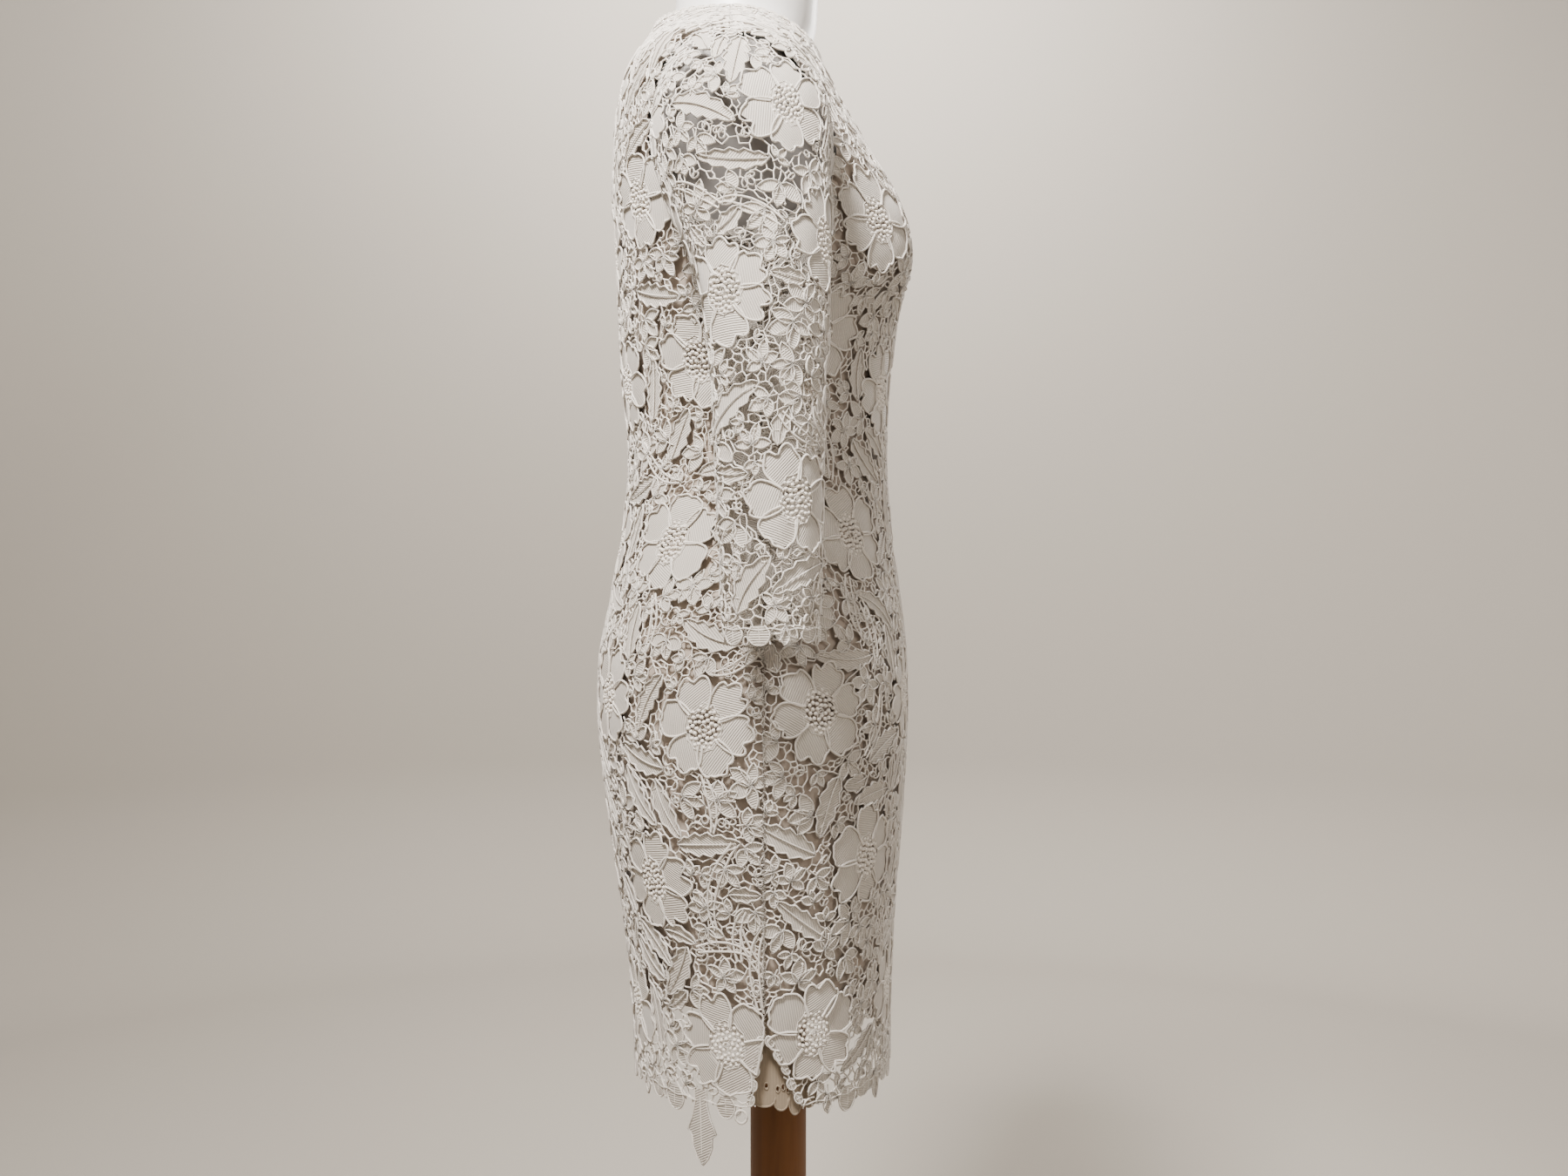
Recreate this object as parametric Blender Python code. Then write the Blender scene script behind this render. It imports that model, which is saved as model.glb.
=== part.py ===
"""A guipure lace sheath dress on a limbless dress form with a wooden pole and base.

Metres, +Z up, the front of the dress faces -Y and the wearer's left is +X.
The origin is the middle of the base's underside, straight below the pole.
"""

import math
from functools import lru_cache

import bmesh
import bpy
import numpy as np
from mathutils import Matrix, Vector
from mathutils.geometry import delaunay_2d_cdt

for old in list(bpy.data.objects):
    bpy.data.objects.remove(old, do_unlink=True)

# Layers of the body, as distances out from the lace's outer face
LACE_WALL = 0.0022
LACE_IN = -LACE_WALL
LINING_OUT = -0.0048
LINING_IN = -0.0058
FORM_OUT = -0.00876
FORM_CUP = 0.75
UNDERLAP_OUT = -0.0062
UNDERLAP_IN = -0.0077
SEAM_GAP = 0.0003
SHOULDER_DROP = 0.0028
SHOULDER_DROP_FROM = 1.295
PETAL_RAISE = 0.0016
STAMEN_RAISE = 0.0024

# Lengths that place the cut
HEM_Z = 0.534
LINING_HEM_Z = 0.602
VENT_TOP_Z = 0.588
VENT_SPREAD = {"front": 0.027, "back": 0.009}
NECK_FRONT_Z = 1.364
NECK_SIDE_Z = 1.390
NECK_BACK_Z = 1.396
ARMHOLE_LOW_Z = 1.190
ARMHOLE_TOP_Z = 1.344
ARMHOLE_FRONT = 0.0600
ARMHOLE_BACK = 0.0725
LINING_NECK_DROP = 0.010
LINING_ARMHOLE_GROW = 0.011

# The lace: large flowers in half-drop rows, with a net of gaps between them
FLOWER_R = 0.042
PETALS = 6
FLOWER_SWING = 9.0
GAP_LONG = 0.0066
GAP_WIDE = 0.0050
GAP_PITCH_U = 0.053
GAP_PITCH_Z = 0.043
GAP_APART = 0.030

# The mesh: row spacing, columns in a quarter, and the least distances between its points. The
# shoulder has rows of its own, because it turns sharply there
LATTICE = 0.043
COLUMNS_ROUND = 6
ARMHOLE_STEPS = 10
NECK_STEPS = 8
LINING_NECK_STEPS = 5
SHOULDER_ROWS = (1.351, 1.363, 1.375)
SHOULDER_ANGLES = (50.0, 64.0, 78.0)
APART = 0.0125
PETAL_APART = 0.0100

# Flower centres on each panel: distance from the centre line, height; the same on both sides
FLOWER_COLUMNS = ("across", "z")
FLOWERS = {
    "front": (
        (0.064, 1.320),
        (0.123, 1.206),
        (0.000, 1.200),
        (0.062, 1.080),
        (0.155, 1.115),
        (0.131, 0.960),
        (0.000, 0.955),
        (0.068, 0.835),
        (0.195, 0.828),
        (0.141, 0.714),
        (0.000, 0.715),
        (0.070, 0.600),
        (0.184, 0.588),
    ),
    "back": (
        (0.060, 1.325),
        (0.118, 1.222),
        (0.035, 1.195),
        (0.058, 1.085),
        (0.155, 1.095),
        (0.144, 0.954),
        (0.040, 0.955),
        (0.098, 0.834),
        (0.210, 0.816),
        (0.147, 0.696),
        (0.045, 0.705),
        (0.200, 0.580),
        (0.085, 0.588),
    ),
}

# Stand
NECK_TOP_Z = 1.480
FORM_LOW_Z = 0.735
FORM_FOOT = 0.012
FORM_FOOT_SHARE = 0.93
FORM_SHOULDER_Z = 1.364
FORM_RING = 0.036
FORM_SEGMENTS = 32
POLE_R = 0.024
BASE_R = 0.190
BASE_H = 0.024

# One row for each level of the body: height, half the width, front and back faces, where the
# side lies, and how square the section is
BODY_COLUMNS = ("z", "half_width", "front", "back", "side", "square")
BODY = (
    (0.500, 0.1690, -0.0944, 0.1204, 0.010, 2.15),
    (0.572, 0.1700, -0.0948, 0.1228, 0.010, 2.15),
    (0.665, 0.1730, -0.0992, 0.1332, 0.010, 2.15),
    (0.724, 0.1760, -0.1037, 0.1417, 0.010, 2.20),
    (0.783, 0.1770, -0.1080, 0.1495, 0.010, 2.20),
    (0.820, 0.1765, -0.1090, 0.1522, 0.010, 2.20),
    (0.857, 0.1740, -0.1085, 0.1515, 0.010, 2.20),
    (0.902, 0.1670, -0.1045, 0.1432, 0.010, 2.20),
    (0.932, 0.1580, -0.0998, 0.1380, 0.010, 2.20),
    (0.976, 0.1450, -0.0945, 0.1300, 0.011, 2.20),
    (1.030, 0.1340, -0.0920, 0.1272, 0.012, 2.20),
    (1.080, 0.1330, -0.0936, 0.1310, 0.014, 2.20),
    (1.124, 0.1390, -0.0985, 0.1345, 0.016, 2.20),
    (1.160, 0.1450, -0.1020, 0.1355, 0.018, 2.20),
    (1.198, 0.1510, -0.1010, 0.1370, 0.020, 2.20),
    (1.243, 0.1570, -0.0940, 0.1400, 0.021, 2.25),
    (1.272, 0.1610, -0.0810, 0.1390, 0.022, 2.30),
    (1.302, 0.1630, -0.0630, 0.1365, 0.026, 2.30),
    (1.320, 0.1615, -0.0535, 0.1342, 0.029, 2.25),
    (1.334, 0.1570, -0.0470, 0.1315, 0.032, 2.20),
    (1.345, 0.1480, -0.0425, 0.1282, 0.034, 2.15),
    (1.357, 0.1290, -0.0390, 0.1236, 0.036, 2.10),
    (1.369, 0.1080, -0.0368, 0.1186, 0.037, 2.00),
    (1.380, 0.0900, -0.0354, 0.1138, 0.038, 2.00),
    (1.391, 0.0740, -0.0345, 0.1088, 0.038, 2.00),
    (1.405, 0.0650, -0.0340, 0.1030, 0.038, 2.00),
)

# The bust: where each cup's point is, how far it stands out, and the dart below it
BUST_X = 0.085
BUST_REACH = 0.0200
BUST_SPREAD = 0.047
BUST_POINT_ABOVE_DART = 0.024
BUST_FADE_UP = 0.098
BUST_FADE_DOWN = 0.032
BUST_AT_DART = 0.82
DART_SIDE_Z = 1.128
DART_POINT_Z = 1.166
BUST_FROM = 12.0
BUST_TO = 66.0
BUST_COLUMNS = 4

# One row for each ring of a sleeve below the armhole: the ring's outermost point, its
# innermost point, and its front and back
SLEEVE_COLUMNS = ("outer_x", "outer_z", "inner_x", "inner_z", "front", "back")
SLEEVE = (
    (0.167, 1.3350, 0.1550, 1.184, -0.0390, 0.0935),
    (0.183, 1.3220, 0.1585, 1.179, -0.0400, 0.0925),
    (0.197, 1.3010, 0.1605, 1.170, -0.0400, 0.0890),
    (0.208, 1.2730, 0.1615, 1.157, -0.0395, 0.0820),
    (0.214, 1.2330, 0.1630, 1.140, -0.0390, 0.0715),
    (0.219, 1.1850, 0.1640, 1.117, -0.0385, 0.0590),
    (0.224, 1.1290, 0.1650, 1.087, -0.0370, 0.0505),
    (0.229, 1.0660, 0.1670, 1.045, -0.0345, 0.0455),
    (0.235, 1.0000, 0.1710, 0.992, -0.0325, 0.0415),
    (0.241, 0.9380, 0.1770, 0.934, -0.0315, 0.0385),
    (0.246, 0.8790, 0.1830, 0.879, -0.0300, 0.0360),
)
SLEEVE_LATTICE = 0.038
SLEEVE_COLUMNS_ROUND = 6

# Long folds in each sleeve: place round the ring in degrees from the underarm, height, width
FOLD_COLUMNS = ("turn", "reach", "width")
FOLDS = (
    (168.0, 0.0016, 9.0),
    (196.0, -0.0030, 13.0),
    (120.0, -0.0020, 16.0),
    (248.0, 0.0018, 14.0),
)
FOLD_START = 3.0

# Tips that hang below the hem: distance from the panel's centre, drop, half width
HEM_COLUMNS = ("along", "drop", "half_width")
HEM_TIPS = {
    "front": (
        (0.012, 0.0125, 0.0110),
        (0.036, 0.0080, 0.0095),
        (0.058, 0.0140, 0.0100),
        (0.081, 0.0090, 0.0105),
        (0.104, 0.0150, 0.0105),
        (0.127, 0.0070, 0.0100),
        (0.149, 0.0120, 0.0105),
        (0.170, 0.0085, 0.0095),
    ),
    "back": (
        (0.013, 0.0110, 0.0110),
        (0.036, 0.0075, 0.0100),
        (0.059, 0.0135, 0.0110),
        (0.082, 0.0080, 0.0100),
        (0.104, 0.0120, 0.0100),
        (0.126, 0.0080, 0.0100),
        (0.149, 0.0110, 0.0110),
        (0.176, 0.0470, 0.0105),
        (0.197, 0.0090, 0.0080),
    ),
}
SLEEVE_FLOWERS = {
    "front": ((0.030, 0.388), (0.135, 0.395), (0.020, 0.102), (0.085, 0.190), (0.060, 0.290)),
    "back": ((0.110, 0.400), (0.033, 0.252), (0.085, 0.115), (0.112, 0.300)),
}
CUFF_TIP = 0.007
CUFF_TIP_PITCH = 0.022
NECK_TIP = 0.004


# The underlap in each side vent, clockwise from its front: distance behind the seam, height
UNDERLAP_COLUMNS = ("behind", "z")
UNDERLAP = (
    (-0.046, HEM_Z + 0.010),
    (-0.038, HEM_Z - 0.008),
    (-0.030, HEM_Z + 0.006),
    (-0.020, HEM_Z - 0.003),
    (-0.011, HEM_Z + 0.008),
    (-0.001, HEM_Z - 0.001),
    (0.008, HEM_Z + 0.012),
    (0.014, 0.580),
    (0.012, LINING_HEM_Z - 2 * SEAM_GAP),
    (-0.018, LINING_HEM_Z - 2 * SEAM_GAP),
    (-0.038, 0.578),
)
UNDERLAP_INNER = ((-0.014, 0.580), (-0.018, 0.563), (-0.002, 0.563))

# The form's neck, ring by ring
FORM_NECK_COLUMNS = ("z", "half_width", "front", "back")
FORM_NECK = (
    (1.374, 0.0780, -0.0270, 0.1030),
    (1.386, 0.0655, -0.0300, 0.0960),
    (1.398, 0.0600, -0.0325, 0.0905),
    (1.420, 0.0580, -0.0340, 0.0880),
    (NECK_TOP_Z - 0.006, 0.0570, -0.0345, 0.0870),
    (NECK_TOP_Z, 0.0510, -0.0285, 0.0810),
)

# The zip's slider and its pull tab at the back of the neck
ZIP_Z = 1.3830
SLIDER_HALF = 0.0027
SLIDER_LONG = 0.0105
SLIDER_THICK = 0.0014
LUG_THICK = 0.0009
BAR_R = 0.0006
BAR_UP = 0.0037
KNUCKLE_IN = 0.0010
KNUCKLE_OUT = 0.0017
KNUCKLE_HALF = 0.0014
LUG_LONG = 0.0034
TAB_LONG = 0.0220
TAB_THICK = 0.0011
TAB_LOW = 0.0003
BLADE_HALF = 0.0029
BLADE_FROM = 0.0070
BLADE_TAPER = 0.62


def columns(table, names):
    """A table's columns as arrays, by name."""
    return {name: np.array([row[i] for row in table]) for i, name in enumerate(names)}


BODY_AT = columns(BODY, BODY_COLUMNS)


def tangents(xs, ys):
    """Slopes at the points (xs, ys) for a smooth curve that never overshoots them."""
    slopes = np.diff(ys) / np.diff(xs)
    found = np.zeros(len(xs))
    for i in range(1, len(xs) - 1):
        before, after = slopes[i - 1], slopes[i]
        if before * after > 0:
            found[i] = 2 * before * after / (before + after)
    found[0], found[-1] = slopes[0], slopes[-1]
    return found


BODY_SLOPES = {name: tangents(BODY_AT["z"], BODY_AT[name]) for name in BODY_COLUMNS[1:]}


@lru_cache(maxsize=None)
def level(z):
    """The body's section sizes at height z."""
    heights = BODY_AT["z"]
    i = int(np.clip(np.searchsorted(heights, z) - 1, 0, len(heights) - 2))
    span = heights[i + 1] - heights[i]
    t = (z - heights[i]) / span
    start, start_slope = 2 * t**3 - 3 * t**2 + 1, (t**3 - 2 * t**2 + t) * span
    end, end_slope = 3 * t**2 - 2 * t**3, (t**3 - t**2) * span
    sizes = {}
    for name in BODY_COLUMNS[1:]:
        size, slope = BODY_AT[name], BODY_SLOPES[name]
        below = start * size[i] + start_slope * slope[i]
        sizes[name] = float(below + end * size[i + 1] + end_slope * slope[i + 1])
    return sizes


def dart_z(angle):
    """The height of the crease under the bust at a section angle."""
    return DART_POINT_Z + (DART_SIDE_Z - DART_POINT_Z) * max(0.0, angle / 90 - 0.4) / 0.6


def bust_reach(x, angle, z):
    """How far the cups stand out of the plain section."""
    above = z - dart_z(angle)
    if above < 0:
        height = BUST_AT_DART * max(0.0, 1 + above / BUST_FADE_DOWN) ** 1.5
    elif above < BUST_POINT_ABOVE_DART:
        height = BUST_AT_DART + (1 - BUST_AT_DART) * math.sin(above / BUST_POINT_ABOVE_DART * math.pi / 2)
    else:
        fade = min(1.0, (above - BUST_POINT_ABOVE_DART) / BUST_FADE_UP)
        height = (1 + math.cos(math.pi * fade)) / 2
    return BUST_REACH * height * math.exp(-(((abs(x) - BUST_X) / BUST_SPREAD) ** 2))


def body_face(part, side, angle, z, cup=1.0):
    """A point of the lace's outer face: angle is 0 at the centre and 90 at the side seam."""
    here = level(z)
    turn = math.radians(angle)
    square = here["square"]
    sine, cosine = math.sin(turn), math.cos(turn)
    grow = (abs(sine) ** square + abs(cosine) ** square) ** (-1 / square)
    x = side * here["half_width"] * sine * grow
    if part == "front":
        y = here["side"] - (here["side"] - here["front"]) * cosine * grow
        y -= cup * bust_reach(x, angle, z)
    else:
        y = here["side"] + (here["back"] - here["side"]) * cosine * grow
    return Vector((x, y, z))


def body_point(part, side, angle, z, out, cup=1.0):
    """A point that lies out metres outside the lace's outer face."""
    step_angle, step_z = 0.5, 0.001
    ahead, behind = (body_face(part, side, angle + step, z, cup) for step in (step_angle, -step_angle))
    above, below = (body_face(part, side, angle, z + step, cup) for step in (step_z, -step_z))
    along, up = ahead - behind, above - below
    normal = along.cross(up).normalized()
    outward = Vector((math.sin(math.radians(angle)) * side, -math.cos(math.radians(angle)), 0))
    if part == "back":
        outward.y = -outward.y
    if normal.dot(outward) < 0:
        normal.negate()
    return body_face(part, side, angle, z, cup) + normal * out


class Panel:
    """A quarter or half of the body as a flat cut: u is the distance from its centre line."""

    samples = 46

    def __init__(self, part, sides):
        self.part, self.sides, self.cache = part, sides, {}

    def arcs(self, z):
        """Distances from the centre line to each of the sampled angles at height z."""
        key = round(z, 5)
        if key not in self.cache:
            angles = np.linspace(0, 90, self.samples)
            ring = [body_face(self.part, 1, float(angle), z) for angle in angles]
            steps = [0.0] + [(b - a).length for a, b in zip(ring, ring[1:])]
            self.cache[key] = (angles, np.cumsum(steps))
        return self.cache[key]

    def reach(self, z):
        """The distance from the centre line to the side seam at height z."""
        return float(self.arcs(z)[1][-1])

    def u_at(self, angle, z):
        angles, arc = self.arcs(z)
        return float(np.interp(angle, angles, arc))

    def place(self, u, z, out):
        angles, arc = self.arcs(z)
        side = 1 if u >= 0 else -1
        return body_point(self.part, side, float(np.interp(abs(u), arc, angles)), z, out)


def armhole_curve(panel, steps, grow=0.0):
    """The armhole's edge on one panel from the underarm up to the shoulder, as (u, z)."""
    middle = (ARMHOLE_LOW_Z + ARMHOLE_TOP_Z) / 2
    half = (ARMHOLE_TOP_Z - ARMHOLE_LOW_Z) / 2 + grow
    depth = (ARMHOLE_FRONT if panel.part == "front" else ARMHOLE_BACK) + grow
    curve = []
    for i in range(steps + 1):
        turn = math.pi * i / steps
        z = middle - half * math.cos(turn)
        curve.append((panel.u_at(armhole_angle(panel.part, z, depth * math.sin(turn)), z), z))
    return curve


def armhole_angle(part, z, away):
    """The section angle at which the face lies away metres in front of or behind the side."""
    here = level(z)
    deep = abs(here["front" if part == "front" else "back"] - here["side"])
    low, high = 0.0, 90.0
    for _ in range(30):
        middle = (low + high) / 2
        y = body_face(part, 1, middle, z).y
        if abs(y - here["side"]) > away and deep > away:
            low = middle
        else:
            high = middle
    return (low + high) / 2


def neck_z(part, angle, drop=0.0):
    """The neckline's height at an angle round the neck."""
    centre = NECK_FRONT_Z if part == "front" else NECK_BACK_Z
    return centre + (NECK_SIDE_Z - centre) * math.sin(math.radians(angle)) ** 2 - drop


def hem_z(part, along):
    """The lace hem's height at a distance from the centre, with the tips that hang below it."""
    drop = 0.0
    for tip_at, tip_drop, half in HEM_TIPS[part]:
        away = abs(along - tip_at) / half
        if away < 1:
            drop = max(drop, tip_drop * (1 - away**2) ** 0.5)
    return HEM_Z - drop


def hem_stations(part, reach):
    """Distances from the centre where the hem's outline turns: each tip and its shoulders."""
    found = []
    for tip_at, drop, half in HEM_TIPS[part]:
        shares = (-0.98, -0.72, 0.0, 0.72) if drop > 0.02 else (-0.98, 0.0)
        found += [tip_at + share * half for share in shares]
    return [s for s in found if 0.004 < s < reach - 0.004]


def side_levels(low, high, spacing):
    """Heights from low to high, spaced evenly along the side, where the shoulder slopes in."""
    fine = np.linspace(low, high, 200)
    side = [body_face("front", 1, 90.0, float(z)) for z in fine]
    arc = np.cumsum([0.0] + [(b - a).length for a, b in zip(side, side[1:])])
    count = max(1, round(arc[-1] / spacing))
    return [float(np.interp(arc[-1] * i / count, arc, fine)) for i in range(count + 1)]


ROWS = side_levels(LINING_HEM_Z - LATTICE, NECK_SIDE_Z, LATTICE)


def rows_between(low, high):
    """The shared row heights between two heights, not too near either."""
    heights = [z for z in ROWS if z < ARMHOLE_TOP_Z] + list(SHOULDER_ROWS)
    near = LATTICE * (0.3 if low < ARMHOLE_LOW_Z else 0.1)
    return [z for z in heights if low + near < z < high - LATTICE * 0.15]


def half_outline(panel, lining=False):
    """One side's edge from the hem's centre out, up the side seam and back to the neck's centre."""
    inset = SEAM_GAP / 2
    low = LINING_HEM_Z if lining else VENT_TOP_Z
    hem_reach = panel.reach(LINING_HEM_Z if lining else HEM_Z) - inset
    edge = []
    if lining:
        turns = [90 * i / COLUMNS_ROUND for i in range(1, COLUMNS_ROUND)]
        edge += [(panel.u_at(turn, LINING_HEM_Z), LINING_HEM_Z) for turn in turns]
        edge.append((hem_reach, LINING_HEM_Z))
        climb = rows_between(low, ARMHOLE_LOW_Z - LINING_ARMHOLE_GROW)
    else:
        spread = VENT_SPREAD[panel.part]
        hem_reach -= spread
        edge += [(s, hem_z(panel.part, s)) for s in hem_stations(panel.part, hem_reach)]
        middle = (HEM_Z + VENT_TOP_Z) / 2
        edge += [(hem_reach, HEM_Z), (panel.reach(middle) - inset - spread * 0.55, middle)]
        climb = [low] + rows_between(low, ARMHOLE_LOW_Z)
    edge += [(panel.reach(z) - inset, z) for z in climb]
    grow = LINING_ARMHOLE_GROW if lining else 0.0
    curve = armhole_curve(panel, ARMHOLE_STEPS, grow)
    edge += [(u - inset, z) for u, z in curve]
    drop = LINING_NECK_DROP if lining else 0.0
    edge += [(panel.reach(z) - inset, z) for z in rows_between(curve[-1][1], NECK_SIDE_Z - drop)]
    turns = LINING_NECK_STEPS if lining else NECK_STEPS
    for i in range(turns, 0, -1):
        angle = 90 * i / turns
        tip = NECK_TIP * (i % 2) if not lining else 0.0
        z = neck_z(panel.part, angle, drop + tip)
        edge.append((panel.u_at(angle, z) - (inset if i == turns else 0.0), z))
    return edge


def outline(panel, lining=False):
    """The closed edge of a panel's cut, anticlockwise, as (u, z)."""
    low = LINING_HEM_Z if lining else None
    drop = LINING_NECK_DROP if lining else 0.0
    neck = neck_z(panel.part, 0.0, drop)
    if len(panel.sides) == 2:
        half = half_outline(panel, lining)
        mirrored = [(-u, z) for u, z in half]
        return [(0.0, low or HEM_Z)] + half + [(0.0, neck)] + mirrored[::-1]
    side = panel.sides[0]
    centre = SEAM_GAP / 2
    edge = half_outline(panel, lining)
    start = low or HEM_Z
    rise = [start, *rows_between(start, neck), neck]
    loop = [(centre, start)] + edge + [(centre, z) for z in rise[:0:-1]]
    if side > 0:
        return loop
    return [(-u, z) for u, z in loop][::-1]


def inside(loop, u, z):
    """Whether (u, z) lies inside a closed loop."""
    found = False
    for (u0, z0), (u1, z1) in zip(loop, loop[1:] + loop[:1]):
        if (z0 > z) != (z1 > z) and u < (u1 - u0) * (z - z0) / (z1 - z0) + u0:
            found = not found
    return found


def clearance(loop, u, z):
    """The distance from (u, z) to a closed loop."""
    point = Vector((u, z))
    nearest = 1.0
    for a, b in zip(loop, loop[1:] + loop[:1]):
        start, span = Vector(a), Vector(b) - Vector(a)
        share = max(0.0, min(1.0, (point - start).dot(span) / max(span.length_squared, 1e-12)))
        nearest = min(nearest, (point - start - span * share).length)
    return nearest


def flowers_on(panel, loop):
    """Centres of the large flowers that lie on a body panel."""
    found = []
    for across, z in FLOWERS[panel.part]:
        for side in panel.sides:
            u = side * across
            if (u, z) not in found and inside(loop, u, z) and clearance(loop, u, z) > 0.016:
                found.append((u, z))
    return found


def flower_points(loop, u, z):
    """A flower's outline and its raised points, kept inside the cut: (outline, [(u, z, raise)]).

    Its petals turn with its place, and a flower on the other side is its mirror image.
    """
    edge, raised = [], []
    for i in range(2 * PETALS):
        turn = math.pi * i / PETALS + FLOWER_SWING * (abs(u) + z)
        turn = math.pi - turn if u < 0 else turn
        edge.append(pulled_in(loop, u, z, FLOWER_R * (1.0 if i % 2 == 0 else 0.80), turn, 0.004))
        if i % 2 == 0:
            raised.append((*pulled_in(loop, u, z, FLOWER_R * 0.58, turn, 0.008), PETAL_RAISE))
    raised.append((u, z, STAMEN_RAISE))
    return edge, raised


def pulled_in(loop, u, z, radius, turn, margin):
    """A point at a radius from (u, z), shortened until it is inside the cut by a margin."""
    for share in np.linspace(1.0, 0.2, 17):
        point = (u + radius * share * math.cos(turn), z + radius * share * math.sin(turn))
        if inside(loop, *point) and clearance(loop, *point) > margin:
            return point
    return (u, z)


def gaps_on(loop, flowers):
    """The net's large gaps on a cut, each a small four-cornered loop between the flowers."""
    us, zs = [p[0] for p in loop], [p[1] for p in loop]
    found, centres = [], []
    rows = int((max(zs) - min(zs)) / GAP_PITCH_Z)
    columns_across = int((max(us) - min(us)) / GAP_PITCH_U) + 1
    for row in range(rows + 1):
        for column in range(columns_across + 1):
            sway = math.sin(5.1 * row + 2.3 * column)
            u = min(us) + GAP_PITCH_U * (column + 0.5 * (row % 2)) + 0.004 * sway
            z = min(zs) + GAP_PITCH_Z * (row + 0.4) + 0.005 * math.cos(3.7 * column + row)
            if any(math.dist((u, z), flower) < FLOWER_R + GAP_LONG * 0.7 for flower in flowers):
                continue
            if any(math.dist((u, z), other) < GAP_APART for other in centres):
                continue
            if inside(loop, u, z) and clearance(loop, u, z) > GAP_LONG + 0.006:
                centres.append((u, z))
                found.append(gap_loop((u, z), 1.5 + 1.4 * sway))
    return found


def gap_loop(centre, turn):
    corners = []
    for i in range(4):
        along = GAP_LONG * math.cos(i * math.pi / 2)
        across = GAP_WIDE * math.sin(i * math.pi / 2)
        corners.append(
            (
                centre[0] + along * math.cos(turn) - across * math.sin(turn),
                centre[1] + along * math.sin(turn) + across * math.cos(turn),
            )
        )
    return corners


def kept_points(loop, holes, points, apart):
    """The points that lie inside a cut, clear of its edge and its holes and of each other."""
    kept = []
    for u, z in points:
        if not inside(loop, u, z) or clearance(loop, u, z) < apart:
            continue
        if any(clearance(hole, u, z) < apart * 0.5 for hole in holes):
            continue
        if all(math.dist((u, z), other) > apart for other in kept):
            kept.append((u, z))
    return kept


def body_lattice(panel):
    """Points spread over a body panel by angle and height, the same for every layer."""
    points = []
    if panel.part == "front":
        for below in (0.0, -BUST_POINT_ABOVE_DART, 0.45 * BUST_FADE_DOWN, 0.95 * BUST_FADE_DOWN):
            for i in range(BUST_COLUMNS + 1):
                angle = BUST_FROM + (BUST_TO - BUST_FROM) * i / BUST_COLUMNS
                z = dart_z(angle) - below
                points += [(side * panel.u_at(angle, z), z) for side in panel.sides]
    for z in SHOULDER_ROWS:
        for angle in SHOULDER_ANGLES:
            points += [(side * panel.u_at(angle, z), z) for side in panel.sides]
    for n, z in enumerate(ROWS):
        for i in range(COLUMNS_ROUND + 1):
            angle = 90 * (i + 0.5 * (n % 2)) / COLUMNS_ROUND
            if angle < 90:
                u = panel.u_at(angle, z)
                points += [(side * u, z) for side in panel.sides if u > 0 or side == panel.sides[0]]
    return points


def sheet(loop, holes, points, extra_edges=()):
    """A flat triangulation of a cut with its holes left out: (points, triangles)."""
    coords, edges = [], []
    for ring in [loop, *holes, *extra_edges]:
        first = len(coords)
        coords += list(ring)
        edges += [(first + i, first + (i + 1) % len(ring)) for i in range(len(ring))]
    coords += [(p[0], p[1]) for p in points]
    flat, _, faces, *_ = delaunay_2d_cdt([Vector(p) for p in coords], edges, [], 0, 1e-7)
    kept = []
    for face in faces:
        u = sum(flat[i].x for i in face) / 3
        z = sum(flat[i].y for i in face) / 3
        if inside(loop, u, z) and not any(inside(hole, u, z) for hole in holes):
            kept.append(tuple(face))
    return [(p.x, p.y) for p in flat], kept


def material(name, colour, roughness, metallic=0.0):
    made = bpy.data.materials.get(name) or bpy.data.materials.new(name)
    made.use_nodes = True
    shader = made.node_tree.nodes["Principled BSDF"]
    shader.inputs["Base Color"].default_value = (*colour, 1.0)
    shader.inputs["Roughness"].default_value = roughness
    shader.inputs["Metallic"].default_value = metallic
    return made


LACE = material("lace", (0.80, 0.76, 0.71), 0.75)
LINING = material("lining", (0.62, 0.56, 0.50), 0.55)
FORM = material("form_shell", (0.74, 0.72, 0.71), 0.35)
WOOD = material("pole_wood", (0.16, 0.075, 0.03), 0.45)
METAL = material("zip_metal", (0.82, 0.80, 0.77), 0.35, 0.9)


def new_object(name, mesh, finish, smooth=True):
    mesh.materials.append(finish)
    if smooth:
        mesh.shade_smooth()
        mesh.set_sharp_from_angle(angle=math.radians(50))
    made = bpy.data.objects.new(name, mesh)
    bpy.context.scene.collection.objects.link(made)
    return made


def walled(name, flat, place, finish):
    """A closed wall over a flat cut: place(u, z, face) is its point outside (0) or inside (1)."""
    points, triangles = flat
    count = len(points)
    verts = [place(u, z, face) for face in (0, 1) for u, z in points]
    faces = [list(triangle) for triangle in triangles]
    faces += [[i + count for i in triangle[::-1]] for triangle in triangles]
    used = {(a, b) for triangle in triangles for a, b in zip(triangle, triangle[1:] + triangle[:1])}
    for a, b in used:
        if (b, a) not in used:
            faces.append([b, a, a + count, b + count])
    mesh = bpy.data.meshes.new(name)
    mesh.from_pydata([tuple(v) for v in verts], [], faces)
    built = bmesh.new()
    built.from_mesh(mesh)
    bmesh.ops.triangulate(built, faces=built.faces[:])
    bmesh.ops.recalc_face_normals(built, faces=built.faces[:])
    built.to_mesh(mesh)
    built.free()
    return new_object(name, mesh, finish)


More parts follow.
